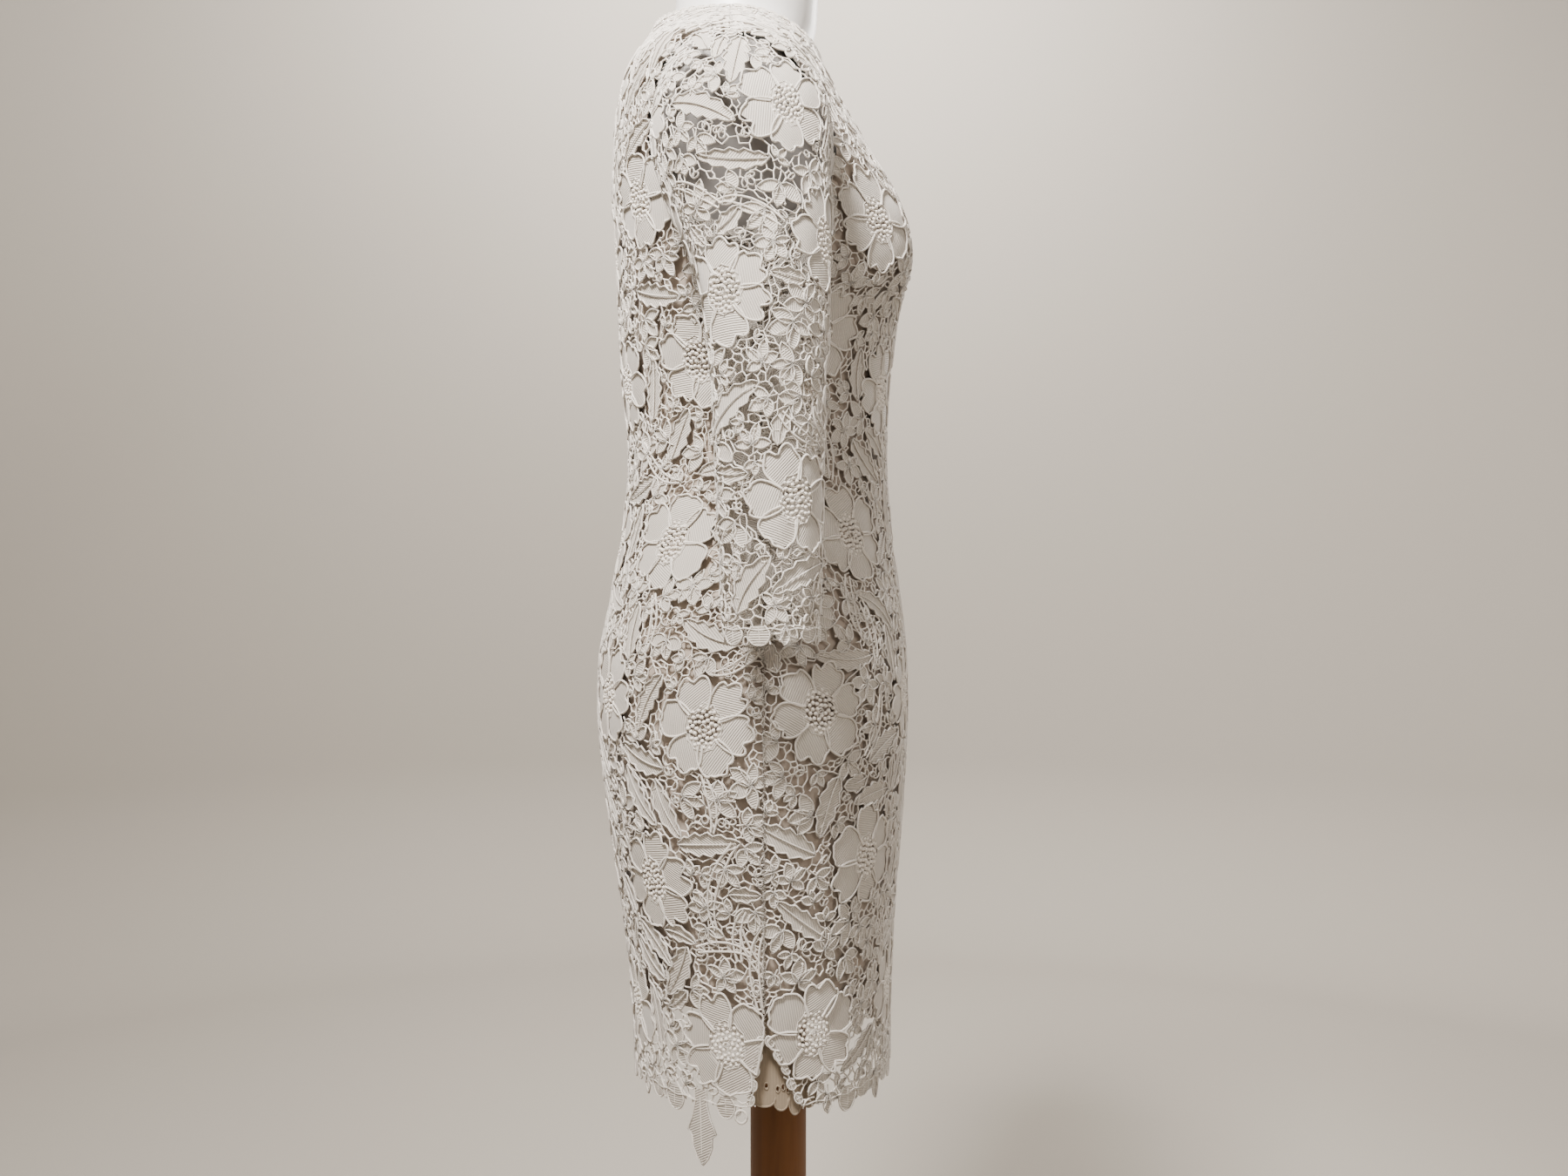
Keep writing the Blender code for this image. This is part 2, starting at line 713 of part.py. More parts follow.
def lace_sheet(loop, holes, flowers, points):
    """A lace cut with its flowers' outlines in it, and how far each point is raised outside."""
    rings, lift = [], {}
    for u, z in flowers:
        ring, lifted = flower_points(loop, u, z)
        rings.append(ring)
        for at_u, at_z, up in lifted:
            lift[(round(at_u, 6), round(at_z, 6))] = up
    taken = [point for ring in rings for point in ring] + list(lift)
    free = [p for p in points if all(math.dist(p, other) > PETAL_APART for other in taken)]
    for point in free:
        if any(math.dist(point, centre) < FLOWER_R * 0.75 for centre in flowers):
            lift[(round(point[0], 6), round(point[1], 6))] = PETAL_RAISE
    known = {(round(u, 6), round(z, 6)) for u, z in free}
    return sheet(loop, holes, free + [key for key in lift if key not in known], rings), lift


def lace_panel(name, panel):
    """A lace panel: a wall with the net's large gaps cut through and its flowers raised."""
    loop = outline(panel)
    flowers = flowers_on(panel, loop)
    holes = gaps_on(loop, flowers)
    points = kept_points(loop, holes, body_lattice(panel), APART)
    flat, lift = lace_sheet(loop, holes, flowers, points)

    def place(u, z, face):
        out = LACE_IN if face else lift.get((round(u, 6), round(z, 6)), 0.0)
        return panel.place(u, z, out)

    return walled(name, flat, place, LACE)


def shoulder_drop(z):
    """How much deeper the layers under the lace lie where the shoulder turns sharply."""
    return SHOULDER_DROP * min(1.0, max(0.0, (z - SHOULDER_DROP_FROM) / 0.040))


def lining_panel(name, panel):
    """A plain lining panel under the lace."""
    loop = outline(panel, lining=True)
    flat = sheet(loop, [], kept_points(loop, [], body_lattice(panel), APART))

    def place(u, z, face):
        out = LINING_IN if face else LINING_OUT
        return panel.place(u, z, out - shoulder_drop(z))

    return walled(name, flat, place, LINING)


def vent_underlap(name, side):
    """The seam turning that shows in a side vent, with three blunt tips below."""
    front, back = Panel("front", (side,)), Panel("back", (side,))
    seam_front = front.reach(HEM_Z)

    def place(u, z, face):
        out = UNDERLAP_IN if face else UNDERLAP_OUT
        if u <= seam_front:
            panel, from_centre = front, u + front.reach(z) - seam_front
        else:
            panel, from_centre = back, back.reach(z) - (u - seam_front)
        return panel.place(side * from_centre, z, out)

    loop = [(seam_front + behind, z) for behind, z in UNDERLAP]
    middle = [(seam_front + behind, z) for behind, z in UNDERLAP_INNER]
    flat = sheet(loop, [], middle)
    return walled(name, flat, place, LACE)


SLEEVE_AT = columns(SLEEVE, SLEEVE_COLUMNS)
SLEEVE_ROWS = len(SLEEVE)


def armhole_ring(side, turn, out):
    """A point of the armhole's edge: turn is 0 at the underarm and 180 at the shoulder."""
    part = "front" if turn <= 180 else "back"
    depth = ARMHOLE_FRONT if part == "front" else ARMHOLE_BACK
    middle = (ARMHOLE_LOW_Z + ARMHOLE_TOP_Z) / 2
    shrink = SEAM_GAP - out
    half = (ARMHOLE_TOP_Z - ARMHOLE_LOW_Z) / 2 - shrink
    z = middle - half * math.cos(math.radians(turn))
    away = (depth - shrink) * abs(math.sin(math.radians(turn)))
    return body_point(part, side, armhole_angle(part, z, away), z, SEAM_GAP)


def sleeve_ring(row, side, turn, out):
    """A point of one of the sleeve's rings, out metres outside its outer face."""
    ring = {name: SLEEVE_AT[name][row] for name in SLEEVE_COLUMNS}
    outer = Vector((ring["outer_x"], ring["outer_z"]))
    inner = Vector((ring["inner_x"], ring["inner_z"]))
    middle, reach = (outer + inner) / 2, (outer - inner) / 2
    deep = (ring["back"] - ring["front"]) / 2
    radians = math.radians(turn)
    swell = out
    if row >= FOLD_START:
        fade = min(1.0, (row - FOLD_START + 1) / 3)
        swell += fade * sum(
            reach_out * math.exp(-(((turn - place) / width) ** 2)) for place, reach_out, width in FOLDS
        )
    flat = middle - (reach + reach.normalized() * swell) * math.cos(radians)
    y = (ring["front"] + ring["back"]) / 2 - (deep + swell) * math.sin(radians)
    return Vector((side * flat.x, y, flat.y))


def sleeve_point(side, turn, along, out):
    """A point of a sleeve: along is 0 at the armhole and SLEEVE_ROWS at the cuff."""
    along = min(max(along, 0.0), SLEEVE_ROWS)
    row = min(int(along), SLEEVE_ROWS - 1)
    knots = []
    for i in (row - 1, row, row + 1, row + 2):
        i = min(max(i, 0), SLEEVE_ROWS)
        knots.append(armhole_ring(side, turn, out) if i == 0 else sleeve_ring(i - 1, side, turn, out))
    t = along - row
    before, start, end, after = knots
    return 0.5 * (
        2 * start
        + (end - before) * t
        + (2 * before - 5 * start + 4 * end - after) * t**2
        + (3 * start - before - 3 * end + after) * t**3
    )


class SleeveHalf:
    """Half a sleeve as a flat cut: u from its outer seam, v up from its cuff."""

    samples = 31

    def __init__(self, side, half):
        self.side, self.cache = side, {}
        self.under = 0.0 if half == "front" else 360.0
        knots = [self.spot(180.0, along, 0.0) for along in np.linspace(0, SLEEVE_ROWS, 81)]
        steps = [0.0] + [(b - a).length for a, b in zip(knots, knots[1:])]
        self.depth = np.cumsum(steps)
        self.length = float(self.depth[-1])

    def spot(self, turn, along, out):
        return sleeve_point(self.side, turn, along, out)

    def along(self, v):
        return float(np.interp(self.length - v, self.depth, np.linspace(0, SLEEVE_ROWS, 81)))

    def arcs(self, v):
        """Distances from the outer seam to each of the sampled turns at height v."""
        key = round(v, 5)
        if key not in self.cache:
            turns = np.linspace(180.0, self.under, self.samples)
            ring = [self.spot(float(turn), self.along(v), 0.0) for turn in turns]
            steps = [0.0] + [(b - a).length for a, b in zip(ring, ring[1:])]
            self.cache[key] = np.cumsum(steps)
        return self.cache[key]

    def reach(self, v):
        """The distance from the outer seam to the underarm seam at height v."""
        return float(self.arcs(v)[-1])

    def u_at(self, share, v):
        """The distance from the outer seam at a share of the way to the underarm seam."""
        return float(np.interp(share, np.linspace(0, 1, self.samples), self.arcs(v)))

    def place(self, u, v, out):
        turns = np.linspace(180.0, self.under, self.samples)
        return self.spot(float(np.interp(u, self.arcs(v), turns)), self.along(v), out)


def cuff_z(u):
    """The height of the cuff's edge at u: blunt tips below a plain line."""
    return CUFF_TIP * (1 - abs(math.sin(math.pi * u / CUFF_TIP_PITCH)))


def sleeve_half(name, side, half):
    """The front or back half of a sleeve, from its outer seam to its underarm seam."""
    cut = SleeveHalf(side, half)
    seam = SEAM_GAP / 2
    rows = round(cut.length / SLEEVE_LATTICE)
    levels = [cut.length * i / rows for i in range(1, rows)]
    cuff_reach = cut.reach(CUFF_TIP)
    tips = int((cuff_reach - 0.004) / CUFF_TIP_PITCH * 2)
    loop = [(seam, CUFF_TIP)]
    loop += [(CUFF_TIP_PITCH * i / 2, cuff_z(CUFF_TIP_PITCH * i / 2)) for i in range(1, tips + 1)]
    loop += [(cuff_reach - seam, CUFF_TIP)]
    loop += [(cut.reach(v) - seam, v) for v in levels]
    for i in range(ARMHOLE_STEPS, -1, -1):
        loop.append((cut.u_at(i / ARMHOLE_STEPS, cut.length) + (seam if i == 0 else -seam), cut.length))
    loop += [(seam, v) for v in levels[::-1]]
    flowers = [flower for flower in SLEEVE_FLOWERS[half] if clearance(loop, *flower) > 0.012]
    holes = gaps_on(loop, flowers)
    grid = [
        (cut.u_at((j + 0.5 * (i % 2)) / SLEEVE_COLUMNS_ROUND, v), v)
        for i, v in enumerate(levels)
        for j in range(SLEEVE_COLUMNS_ROUND)
    ]
    points = kept_points(loop, holes, grid, APART)
    flat, lift = lace_sheet(loop, holes, flowers, points)

    def place(u, v, face):
        return cut.place(u, v, -LACE_WALL if face else lift.get((round(u, 6), round(v, 6)), 0.0))

    return walled(name, flat, place, LACE)


def form_torso():
    """The form's shell: the body's sections drawn in under the cloth, and a plain neck."""
    rounds = FORM_SEGMENTS
    rings = []
    for z in side_levels(FORM_LOW_Z + FORM_FOOT, FORM_SHOULDER_Z, FORM_RING):
        ring = []
        for i in range(rounds):
            turn = 360 * i / rounds
            side = 1 if turn <= 180 else -1
            angle = turn if turn <= 180 else 360 - turn
            part, angle = ("front", angle) if angle <= 90 else ("back", 180 - angle)
            ring.append(body_point(part, side, angle, z, FORM_OUT - shoulder_drop(z), FORM_CUP))
        rings.append(ring)
    foot = [Vector((p.x * FORM_FOOT_SHARE, p.y * FORM_FOOT_SHARE, FORM_LOW_Z)) for p in rings[0]]
    rings.insert(0, foot)
    for z, half_width, front, back in FORM_NECK:
        middle, half_depth = (front + back) / 2, (back - front) / 2
        ring = []
        for i in range(rounds):
            turn = 2 * math.pi * i / rounds
            ring.append(Vector((half_width * math.sin(turn), middle - half_depth * math.cos(turn), z)))
        rings.append(ring)
    shell = bmesh.new()
    loops = [[shell.verts.new(p) for p in ring] for ring in rings]
    for low, high in zip(loops, loops[1:]):
        for i in range(rounds):
            j = (i + 1) % rounds
            shell.faces.new((low[i], low[j], high[j], high[i]))
    shell.faces.new(loops[0][::-1])
    shell.faces.new(loops[-1])
    bmesh.ops.recalc_face_normals(shell, faces=shell.faces[:])
    mesh = bpy.data.meshes.new("form_torso")
    shell.to_mesh(mesh)
    shell.free()
    return new_object("form_torso", mesh, FORM)


def turned(name, profile, finish, segments=40):
    """A turned piece from a profile of (radius, z) points, bottom to top, on the Z axis."""
    piece = bmesh.new()
    rings = []
    turns = [2 * math.pi * i / segments for i in range(segments)]
    for radius, z in profile:
        ring = [(radius * math.cos(turn), radius * math.sin(turn), z) for turn in turns]
        rings.append([piece.verts.new(point) for point in ring])
    for low, high in zip(rings, rings[1:]):
        for i in range(segments):
            j = (i + 1) % segments
            piece.faces.new((low[i], low[j], high[j], high[i]))
    piece.faces.new(rings[0][::-1])
    piece.faces.new(rings[-1])
    bmesh.ops.recalc_face_normals(piece, faces=piece.faces[:])
    mesh = bpy.data.meshes.new(name)
    piece.to_mesh(mesh)
    piece.free()
    return new_object(name, mesh, finish)


def stand():
    """The round wooden base, and the pole that the form stands on."""
    edge = 0.004
    turned(
        "base",
        (
            (BASE_R - edge, 0.0),
            (BASE_R, edge),
            (BASE_R, BASE_H - edge),
            (BASE_R - edge, BASE_H),
        ),
        WOOD,
    )
    turned("pole", ((POLE_R, BASE_H + SEAM_GAP), (POLE_R, FORM_LOW_Z - SEAM_GAP)), WOOD, 32)


def box(size, centre):
    piece = bmesh.new()
    bmesh.ops.create_cube(piece, size=1.0)
    bmesh.ops.scale(piece, vec=size, verts=piece.verts[:])
    bmesh.ops.translate(piece, vec=centre, verts=piece.verts[:])
    return piece


def rod(radius, length, centre, segments=12):
    """A cylinder along X."""
    piece = bmesh.new()
    sizes = {"radius1": radius, "radius2": radius, "depth": length}
    bmesh.ops.create_cone(piece, cap_ends=True, segments=segments, **sizes)
    quarter = Matrix.Rotation(math.pi / 2, 3, "Y")
    bmesh.ops.rotate(piece, cent=(0, 0, 0), matrix=quarter, verts=piece.verts[:])
    bmesh.ops.translate(piece, vec=centre, verts=piece.verts[:])
    return piece


def as_object(name, piece, finish):
    mesh = bpy.data.meshes.new(name)
    piece.to_mesh(mesh)
    piece.free()
    return new_object(name, mesh, finish, smooth=False)


def joined(base, others, cut=()):
    """base with the others joined on and the cutters taken out, by Boolean modifiers."""
    for operation, pieces in (("UNION", others), ("DIFFERENCE", cut)):
        for other in pieces:
            modifier = base.modifiers.new(other.name, "BOOLEAN")
            modifier.operation = operation
            modifier.object = other
            other.hide_render = True
            other.display_type = "WIRE"
    return base


def zip_pull():
    """The slider on the back of the neck and the tab that swings on its bar.

    Both are drawn lying flat: X across, Y down the back and Z out of the cloth, then an
    empty sets that frame on the cloth.
    """
    foot = body_point("back", 1, 0.0, ZIP_Z, 0.0)
    above = body_point("back", 1, 0.0, ZIP_Z + SLIDER_LONG / 2, 0.0)
    below = body_point("back", 1, 0.0, ZIP_Z - SLIDER_LONG / 2, 0.0)
    down = (below - above).normalized()
    across = Vector((1.0, 0.0, 0.0))
    outward = across.cross(down).normalized()
    frame = bpy.data.objects.new("zip_frame", None)
    bpy.context.scene.collection.objects.link(frame)
    axes = Matrix((across, down, outward)).transposed().to_4x4()
    frame.matrix_world = Matrix.Translation(foot + outward * SEAM_GAP) @ axes

    body = box((2 * SLIDER_HALF, SLIDER_LONG, SLIDER_THICK), (0, 0, SLIDER_THICK / 2))
    slider = as_object("zip_slider", body, METAL)
    lug_x = SLIDER_HALF - LUG_THICK / 2
    lug_high = BAR_UP + BAR_R - SLIDER_THICK / 2
    parts = []
    for n, x in enumerate((-lug_x, lug_x)):
        lug = box((LUG_THICK, LUG_LONG, lug_high), (x, 0, SLIDER_THICK / 2 + lug_high / 2))
        parts.append(as_object(f"lug_{n}", lug, METAL))
    parts.append(as_object("bar", rod(BAR_R, 2 * lug_x, (0, 0, BAR_UP)), METAL))

    tab = as_object("zip_pull", rod(KNUCKLE_OUT, 2 * KNUCKLE_HALF, (0, 0, 0), 16), METAL)
    stem_from, stem_to = KNUCKLE_IN, TAB_LONG / 2
    size = (1.8 * KNUCKLE_HALF, stem_to - stem_from, 1.2 * TAB_THICK)
    stem = box(size, (0, (stem_from + stem_to) / 2, -TAB_LOW))
    stem = as_object("stem", stem, METAL)
    blade = bmesh.new()
    sizes = {"radius1": BLADE_HALF, "radius2": BLADE_HALF, "depth": TAB_THICK}
    bmesh.ops.create_cone(blade, cap_ends=True, segments=20, **sizes)
    reach = (TAB_LONG - BLADE_FROM) / 2
    for vert in blade.verts:
        vert.co.y = vert.co.y / BLADE_HALF * reach + BLADE_FROM + reach
        vert.co.x *= BLADE_TAPER + (1 - BLADE_TAPER) * (vert.co.y - BLADE_FROM) / (TAB_LONG - BLADE_FROM)
        vert.co.z -= TAB_LOW
    blade = as_object("blade", blade, METAL)
    bore = as_object("bore", rod(KNUCKLE_IN, 4 * KNUCKLE_HALF, (0, 0, 0), 16), METAL)
    for piece in (slider, *parts, tab, stem, blade, bore):
        piece.parent = frame
    for piece in (tab, stem, blade, bore):
        piece.location = (0, 0, BAR_UP)
    joined(slider, parts)
    joined(tab, (stem, blade), (bore,))


lace_panel("lace_front", Panel("front", (1, -1)))
lace_panel("lace_back_left", Panel("back", (1,)))
lace_panel("lace_back_right", Panel("back", (-1,)))
lining_panel("lining_front", Panel("front", (1, -1)))
lining_panel("lining_back_left", Panel("back", (1,)))
lining_panel("lining_back_right", Panel("back", (-1,)))
for label, hand in (("left", 1), ("right", -1)):
    vent_underlap(f"vent_underlap_{label}", hand)
    sleeve_half(f"sleeve_{label}_front", hand, "front")
    sleeve_half(f"sleeve_{label}_back", hand, "back")
form_torso()
stand()
zip_pull()
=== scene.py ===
# %% [markdown]
# # A guipure lace dress on a dress form
# Guipure is embroidery with no ground: thick cotton flowers and leaves are stitched on a film that is
# then washed away, so they hold on to each other by thin twisted bars. The dress is cut from that lace
# as a front, two backs and two sleeves, with an underlap behind each side vent and a plain lining, and it
# hangs on a display form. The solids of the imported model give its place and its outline, and this file
# draws the lace itself, thread by thread, on those outlines.

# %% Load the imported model
import math

import bpy
import numpy as np
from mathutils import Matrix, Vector
from mathutils.geometry import delaunay_2d_cdt


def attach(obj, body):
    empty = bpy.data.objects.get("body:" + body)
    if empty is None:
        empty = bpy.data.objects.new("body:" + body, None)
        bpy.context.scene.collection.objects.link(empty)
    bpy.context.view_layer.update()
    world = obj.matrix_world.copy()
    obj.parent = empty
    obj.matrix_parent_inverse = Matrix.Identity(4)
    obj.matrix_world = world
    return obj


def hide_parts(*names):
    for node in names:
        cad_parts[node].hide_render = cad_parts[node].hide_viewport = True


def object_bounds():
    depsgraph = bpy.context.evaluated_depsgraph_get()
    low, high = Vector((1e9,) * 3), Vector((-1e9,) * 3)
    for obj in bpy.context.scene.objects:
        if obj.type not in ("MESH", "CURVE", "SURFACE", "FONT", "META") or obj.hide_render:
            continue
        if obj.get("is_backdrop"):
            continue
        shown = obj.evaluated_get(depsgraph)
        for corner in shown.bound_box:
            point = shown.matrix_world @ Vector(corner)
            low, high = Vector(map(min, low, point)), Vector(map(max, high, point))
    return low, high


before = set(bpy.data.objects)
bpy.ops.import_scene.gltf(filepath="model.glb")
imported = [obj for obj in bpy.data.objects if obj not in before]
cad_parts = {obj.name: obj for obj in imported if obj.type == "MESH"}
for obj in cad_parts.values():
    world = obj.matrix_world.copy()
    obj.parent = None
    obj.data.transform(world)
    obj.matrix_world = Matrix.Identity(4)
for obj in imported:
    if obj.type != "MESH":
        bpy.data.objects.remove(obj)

cad_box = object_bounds()
rng = np.random.default_rng(7)
print("nodes:", len(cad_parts), "box:", [round(x, 3) for corner in cad_box for x in corner])

# %% [markdown]
# ## The camera
# The dress is seen from the wearer's right side, level with a place between waist and hips. The lens is
# wide, because the camera stood close. It could be turned with a Track To constraint, but a plain
# rotation says the same in one line: the view is along +X.

# %% The camera at the wearer's right
CAMERA_AT = (-1.2, -0.0049, 0.919)
CAMERA_LENS = 32.0

def linked(name, data):
    """A new object that holds the data, in the scene."""
    made = bpy.data.objects.new(name, data)
    bpy.context.scene.collection.objects.link(made)
    return made


camera_data = bpy.data.cameras.new("camera")
camera_data.lens = CAMERA_LENS
camera = linked("camera", camera_data)
camera.location = CAMERA_AT
camera.rotation_euler = (math.pi / 2, 0.0, -math.pi / 2)
bpy.context.scene.camera = camera
print("camera at", CAMERA_AT, "with a lens of", CAMERA_LENS, "mm")

# %% [markdown]
# ## The body of the dress
# A fitted dress is a stack of rounded sections: one row of this table for each level, with the half
# width, the front and the back. Between the rows the sizes follow a smooth curve that never overshoots.
# The same numbers shape the model's solids, so what is drawn here lies on them.

# %% Sizes of the body
HEM_Z = 0.534
LINING_HEM_Z = 0.602
VENT_TOP_Z = 0.588
VENT_SPREAD = {"front": 0.027, "back": 0.009}
NECK_Z = {"front": 1.364, "side": 1.390, "back": 1.396}
ARMHOLE_Z = (1.190, 1.344)
ARMHOLE_DEPTH = {"front": 0.0600, "back": 0.0725}
LINING_NECK_DROP = 0.010
LINING_ARMHOLE_GROW = 0.011
BODY_COLUMNS = ("z", "half_width", "front", "back", "side", "square")
BODY = (
    (0.500, 0.1690, -0.0944, 0.1204, 0.010, 2.15),
    (0.572, 0.1700, -0.0948, 0.1228, 0.010, 2.15),
    (0.665, 0.1730, -0.0992, 0.1332, 0.010, 2.15),
    (0.724, 0.1760, -0.1037, 0.1417, 0.010, 2.20),
    (0.783, 0.1770, -0.1080, 0.1495, 0.010, 2.20),
    (0.820, 0.1765, -0.1090, 0.1522, 0.010, 2.20),
    (0.857, 0.1740, -0.1085, 0.1515, 0.010, 2.20),
    (0.902, 0.1670, -0.1045, 0.1432, 0.010, 2.20),
    (0.932, 0.1580, -0.0998, 0.1380, 0.010, 2.20),
    (0.976, 0.1450, -0.0945, 0.1300, 0.011, 2.20),
    (1.030, 0.1340, -0.0920, 0.1272, 0.012, 2.20),
    (1.080, 0.1330, -0.0936, 0.1310, 0.014, 2.20),
    (1.124, 0.1390, -0.0985, 0.1345, 0.016, 2.20),
    (1.160, 0.1450, -0.1020, 0.1355, 0.018, 2.20),
    (1.198, 0.1510, -0.1010, 0.1370, 0.020, 2.20),
    (1.243, 0.1570, -0.0940, 0.1400, 0.021, 2.25),
    (1.272, 0.1610, -0.0810, 0.1390, 0.022, 2.30),
    (1.302, 0.1630, -0.0630, 0.1365, 0.026, 2.30),
    (1.320, 0.1615, -0.0535, 0.1342, 0.029, 2.25),
    (1.334, 0.1570, -0.0470, 0.1315, 0.032, 2.20),
    (1.345, 0.1480, -0.0425, 0.1282, 0.034, 2.15),
    (1.357, 0.1290, -0.0390, 0.1236, 0.036, 2.10),
    (1.369, 0.1080, -0.0368, 0.1186, 0.037, 2.00),
    (1.380, 0.0900, -0.0354, 0.1138, 0.038, 2.00),
    (1.391, 0.0740, -0.0345, 0.1088, 0.038, 2.00),
    (1.405, 0.0650, -0.0340, 0.1030, 0.038, 2.00),
)
BODY_AT = {name: np.array([row[i] for row in BODY]) for i, name in enumerate(BODY_COLUMNS)}


def smooth_slopes(xs, ys):
    """Slopes at the points (xs, ys) for a curve that never overshoots them."""
    steps = np.diff(ys) / np.diff(xs)
    found = np.zeros(len(xs))
    before, after = steps[:-1], steps[1:]
    rising = before * after > 0
    found[1:-1][rising] = 2 * (before * after)[rising] / (before + after)[rising]
    found[0], found[-1] = steps[0], steps[-1]
    return found


BODY_SLOPES = {name: smooth_slopes(BODY_AT["z"], BODY_AT[name]) for name in BODY_COLUMNS[1:]}


def body_size(name, z):
    """One size of the body's sections at the heights z."""
    heights, sizes, slopes = BODY_AT["z"], BODY_AT[name], BODY_SLOPES[name]
    i = np.clip(np.searchsorted(heights, z) - 1, 0, len(heights) - 2)
    span = heights[i + 1] - heights[i]
    t = (z - heights[i]) / span
    low = (2 * t**3 - 3 * t**2 + 1) * sizes[i] + (t**3 - 2 * t**2 + t) * span * slopes[i]
    return low + (3 * t**2 - 2 * t**3) * sizes[i + 1] + (t**3 - t**2) * span * slopes[i + 1]


print("body sections:", len(BODY), "waist width", round(2 * float(body_size("half_width", 1.06)), 3))

# %% [markdown]
# ## Cups and darts
# Each cup is a soft round rise on the front. Its lower side ends at a dart, a stitched fold that runs
# down from the cup's point to the side seam, and there the cloth turns in sharply. A sculpted mesh could
# hold the same form, but a formula keeps the lace, the lining and the solids on one surface.

# %% The bust
BUST_X = 0.085
BUST_REACH = 0.0200
BUST_SPREAD = 0.047
BUST_POINT_ABOVE_DART = 0.024
BUST_FADE_UP = 0.098
BUST_FADE_DOWN = 0.032
BUST_AT_DART = 0.82
DART_SIDE_Z = 1.128
DART_POINT_Z = 1.166
DART_FROM = 0.4


def bust_reach(x, angle, z):
    """How far the cups stand out of the plain section."""
    share = np.maximum(0, angle / 90 - DART_FROM)
    dart = DART_POINT_Z + (DART_SIDE_Z - DART_POINT_Z) * share / (1 - DART_FROM)
    above = z - dart
    below = BUST_AT_DART * np.maximum(0, 1 + above / BUST_FADE_DOWN) ** 1.5
    turn = np.clip(above / BUST_POINT_ABOVE_DART, 0, 1) * math.pi / 2
    point = BUST_AT_DART + (1 - BUST_AT_DART) * np.sin(turn)
    fade = np.clip((above - BUST_POINT_ABOVE_DART) / BUST_FADE_UP, 0, 1)
    top = (1 + np.cos(math.pi * fade)) / 2
    height = np.where(above < 0, below, np.where(above < BUST_POINT_ABOVE_DART, point, top))
    return BUST_REACH * height * np.exp(-(((np.abs(x) - BUST_X) / BUST_SPREAD) ** 2))


def body_face(part, angle, z):
    """Points of the lace's outer face on the left half: angle 0 is the centre, 90 the side seam."""
    angle, z = np.broadcast_arrays(np.asarray(angle, float), np.asarray(z, float))
    sine, cosine = np.sin(np.radians(angle)), np.cos(np.radians(angle))
    square, side = body_size("square", z), body_size("side", z)
    grow = (np.abs(sine) ** square + np.abs(cosine) ** square) ** (-1 / square)
    x = body_size("half_width", z) * sine * grow
    y = side + (body_size(part, z) - side) * cosine * grow
    if part == "front":
        y = y - bust_reach(x, angle, z)
    return np.stack([x, y, z], axis=-1)


def armhole_angle(part, z, away):
    """The section angle at which the face lies away metres in front of or behind the side seam."""
    low, high = np.zeros(len(z)), np.full(len(z), 90.0)
    side = body_size("side", z)
    for _ in range(30):
        middle = (low + high) / 2
        further = np.abs(body_face(part, middle, z)[:, 1] - side) > away
        low, high = np.where(further, middle, low), np.where(further, high, middle)
    return (low + high) / 2


print("bust depth", round(float(-body_face("front", 30.0, 1.19)[1]), 3))

# %% [markdown]
# ## The sleeves
# A sleeve is a tube of rings, each tilted a little more until it lies level at the cuff. Its top ring is
# the armhole itself. Long soft folds run down it where the empty sleeve has gone slack, and a Gaussian
# bump or hollow across each ring makes one.

# %% Rings of the sleeve
SEAM_GAP = 0.0003
# Rings below the armhole: outer x and z, inner x and z, front y, back y
SLEEVE = (
    (0.167, 1.3350, 0.1550, 1.184, -0.0390, 0.0935),
    (0.183, 1.3220, 0.1585, 1.179, -0.0400, 0.0925),
    (0.197, 1.3010, 0.1605, 1.170, -0.0400, 0.0890),
    (0.208, 1.2730, 0.1615, 1.157, -0.0395, 0.0820),
    (0.214, 1.2330, 0.1630, 1.140, -0.0390, 0.0715),
    (0.219, 1.1850, 0.1640, 1.117, -0.0385, 0.0590),
    (0.224, 1.1290, 0.1650, 1.087, -0.0370, 0.0505),
    (0.229, 1.0660, 0.1670, 1.045, -0.0345, 0.0455),
    (0.235, 1.0000, 0.1710, 0.992, -0.0325, 0.0415),
    (0.241, 0.9380, 0.1770, 0.934, -0.0315, 0.0385),
    (0.246, 0.8790, 0.1830, 0.879, -0.0300, 0.0360),
)
# Folds down the sleeve: turn in degrees, reach, width in degrees
FOLDS = ((168.0, 0.0016, 9.0), (196.0, -0.0030, 13.0), (120.0, -0.0020, 16.0), (248.0, 0.0018, 14.0))
FOLD_START = 3


def armhole_ring(turn):
    """The armhole's edge on the left: turn is 0 at the underarm and 180 at the shoulder."""
    middle, half = sum(ARMHOLE_Z) / 2, (ARMHOLE_Z[1] - ARMHOLE_Z[0]) / 2 - SEAM_GAP
    z = middle - half * np.cos(np.radians(turn))
    part = "front" if turn.max() <= 180 else "back"
    away = (ARMHOLE_DEPTH[part] - SEAM_GAP) * np.abs(np.sin(np.radians(turn)))
    return body_face(part, armhole_angle(part, z, away), z)


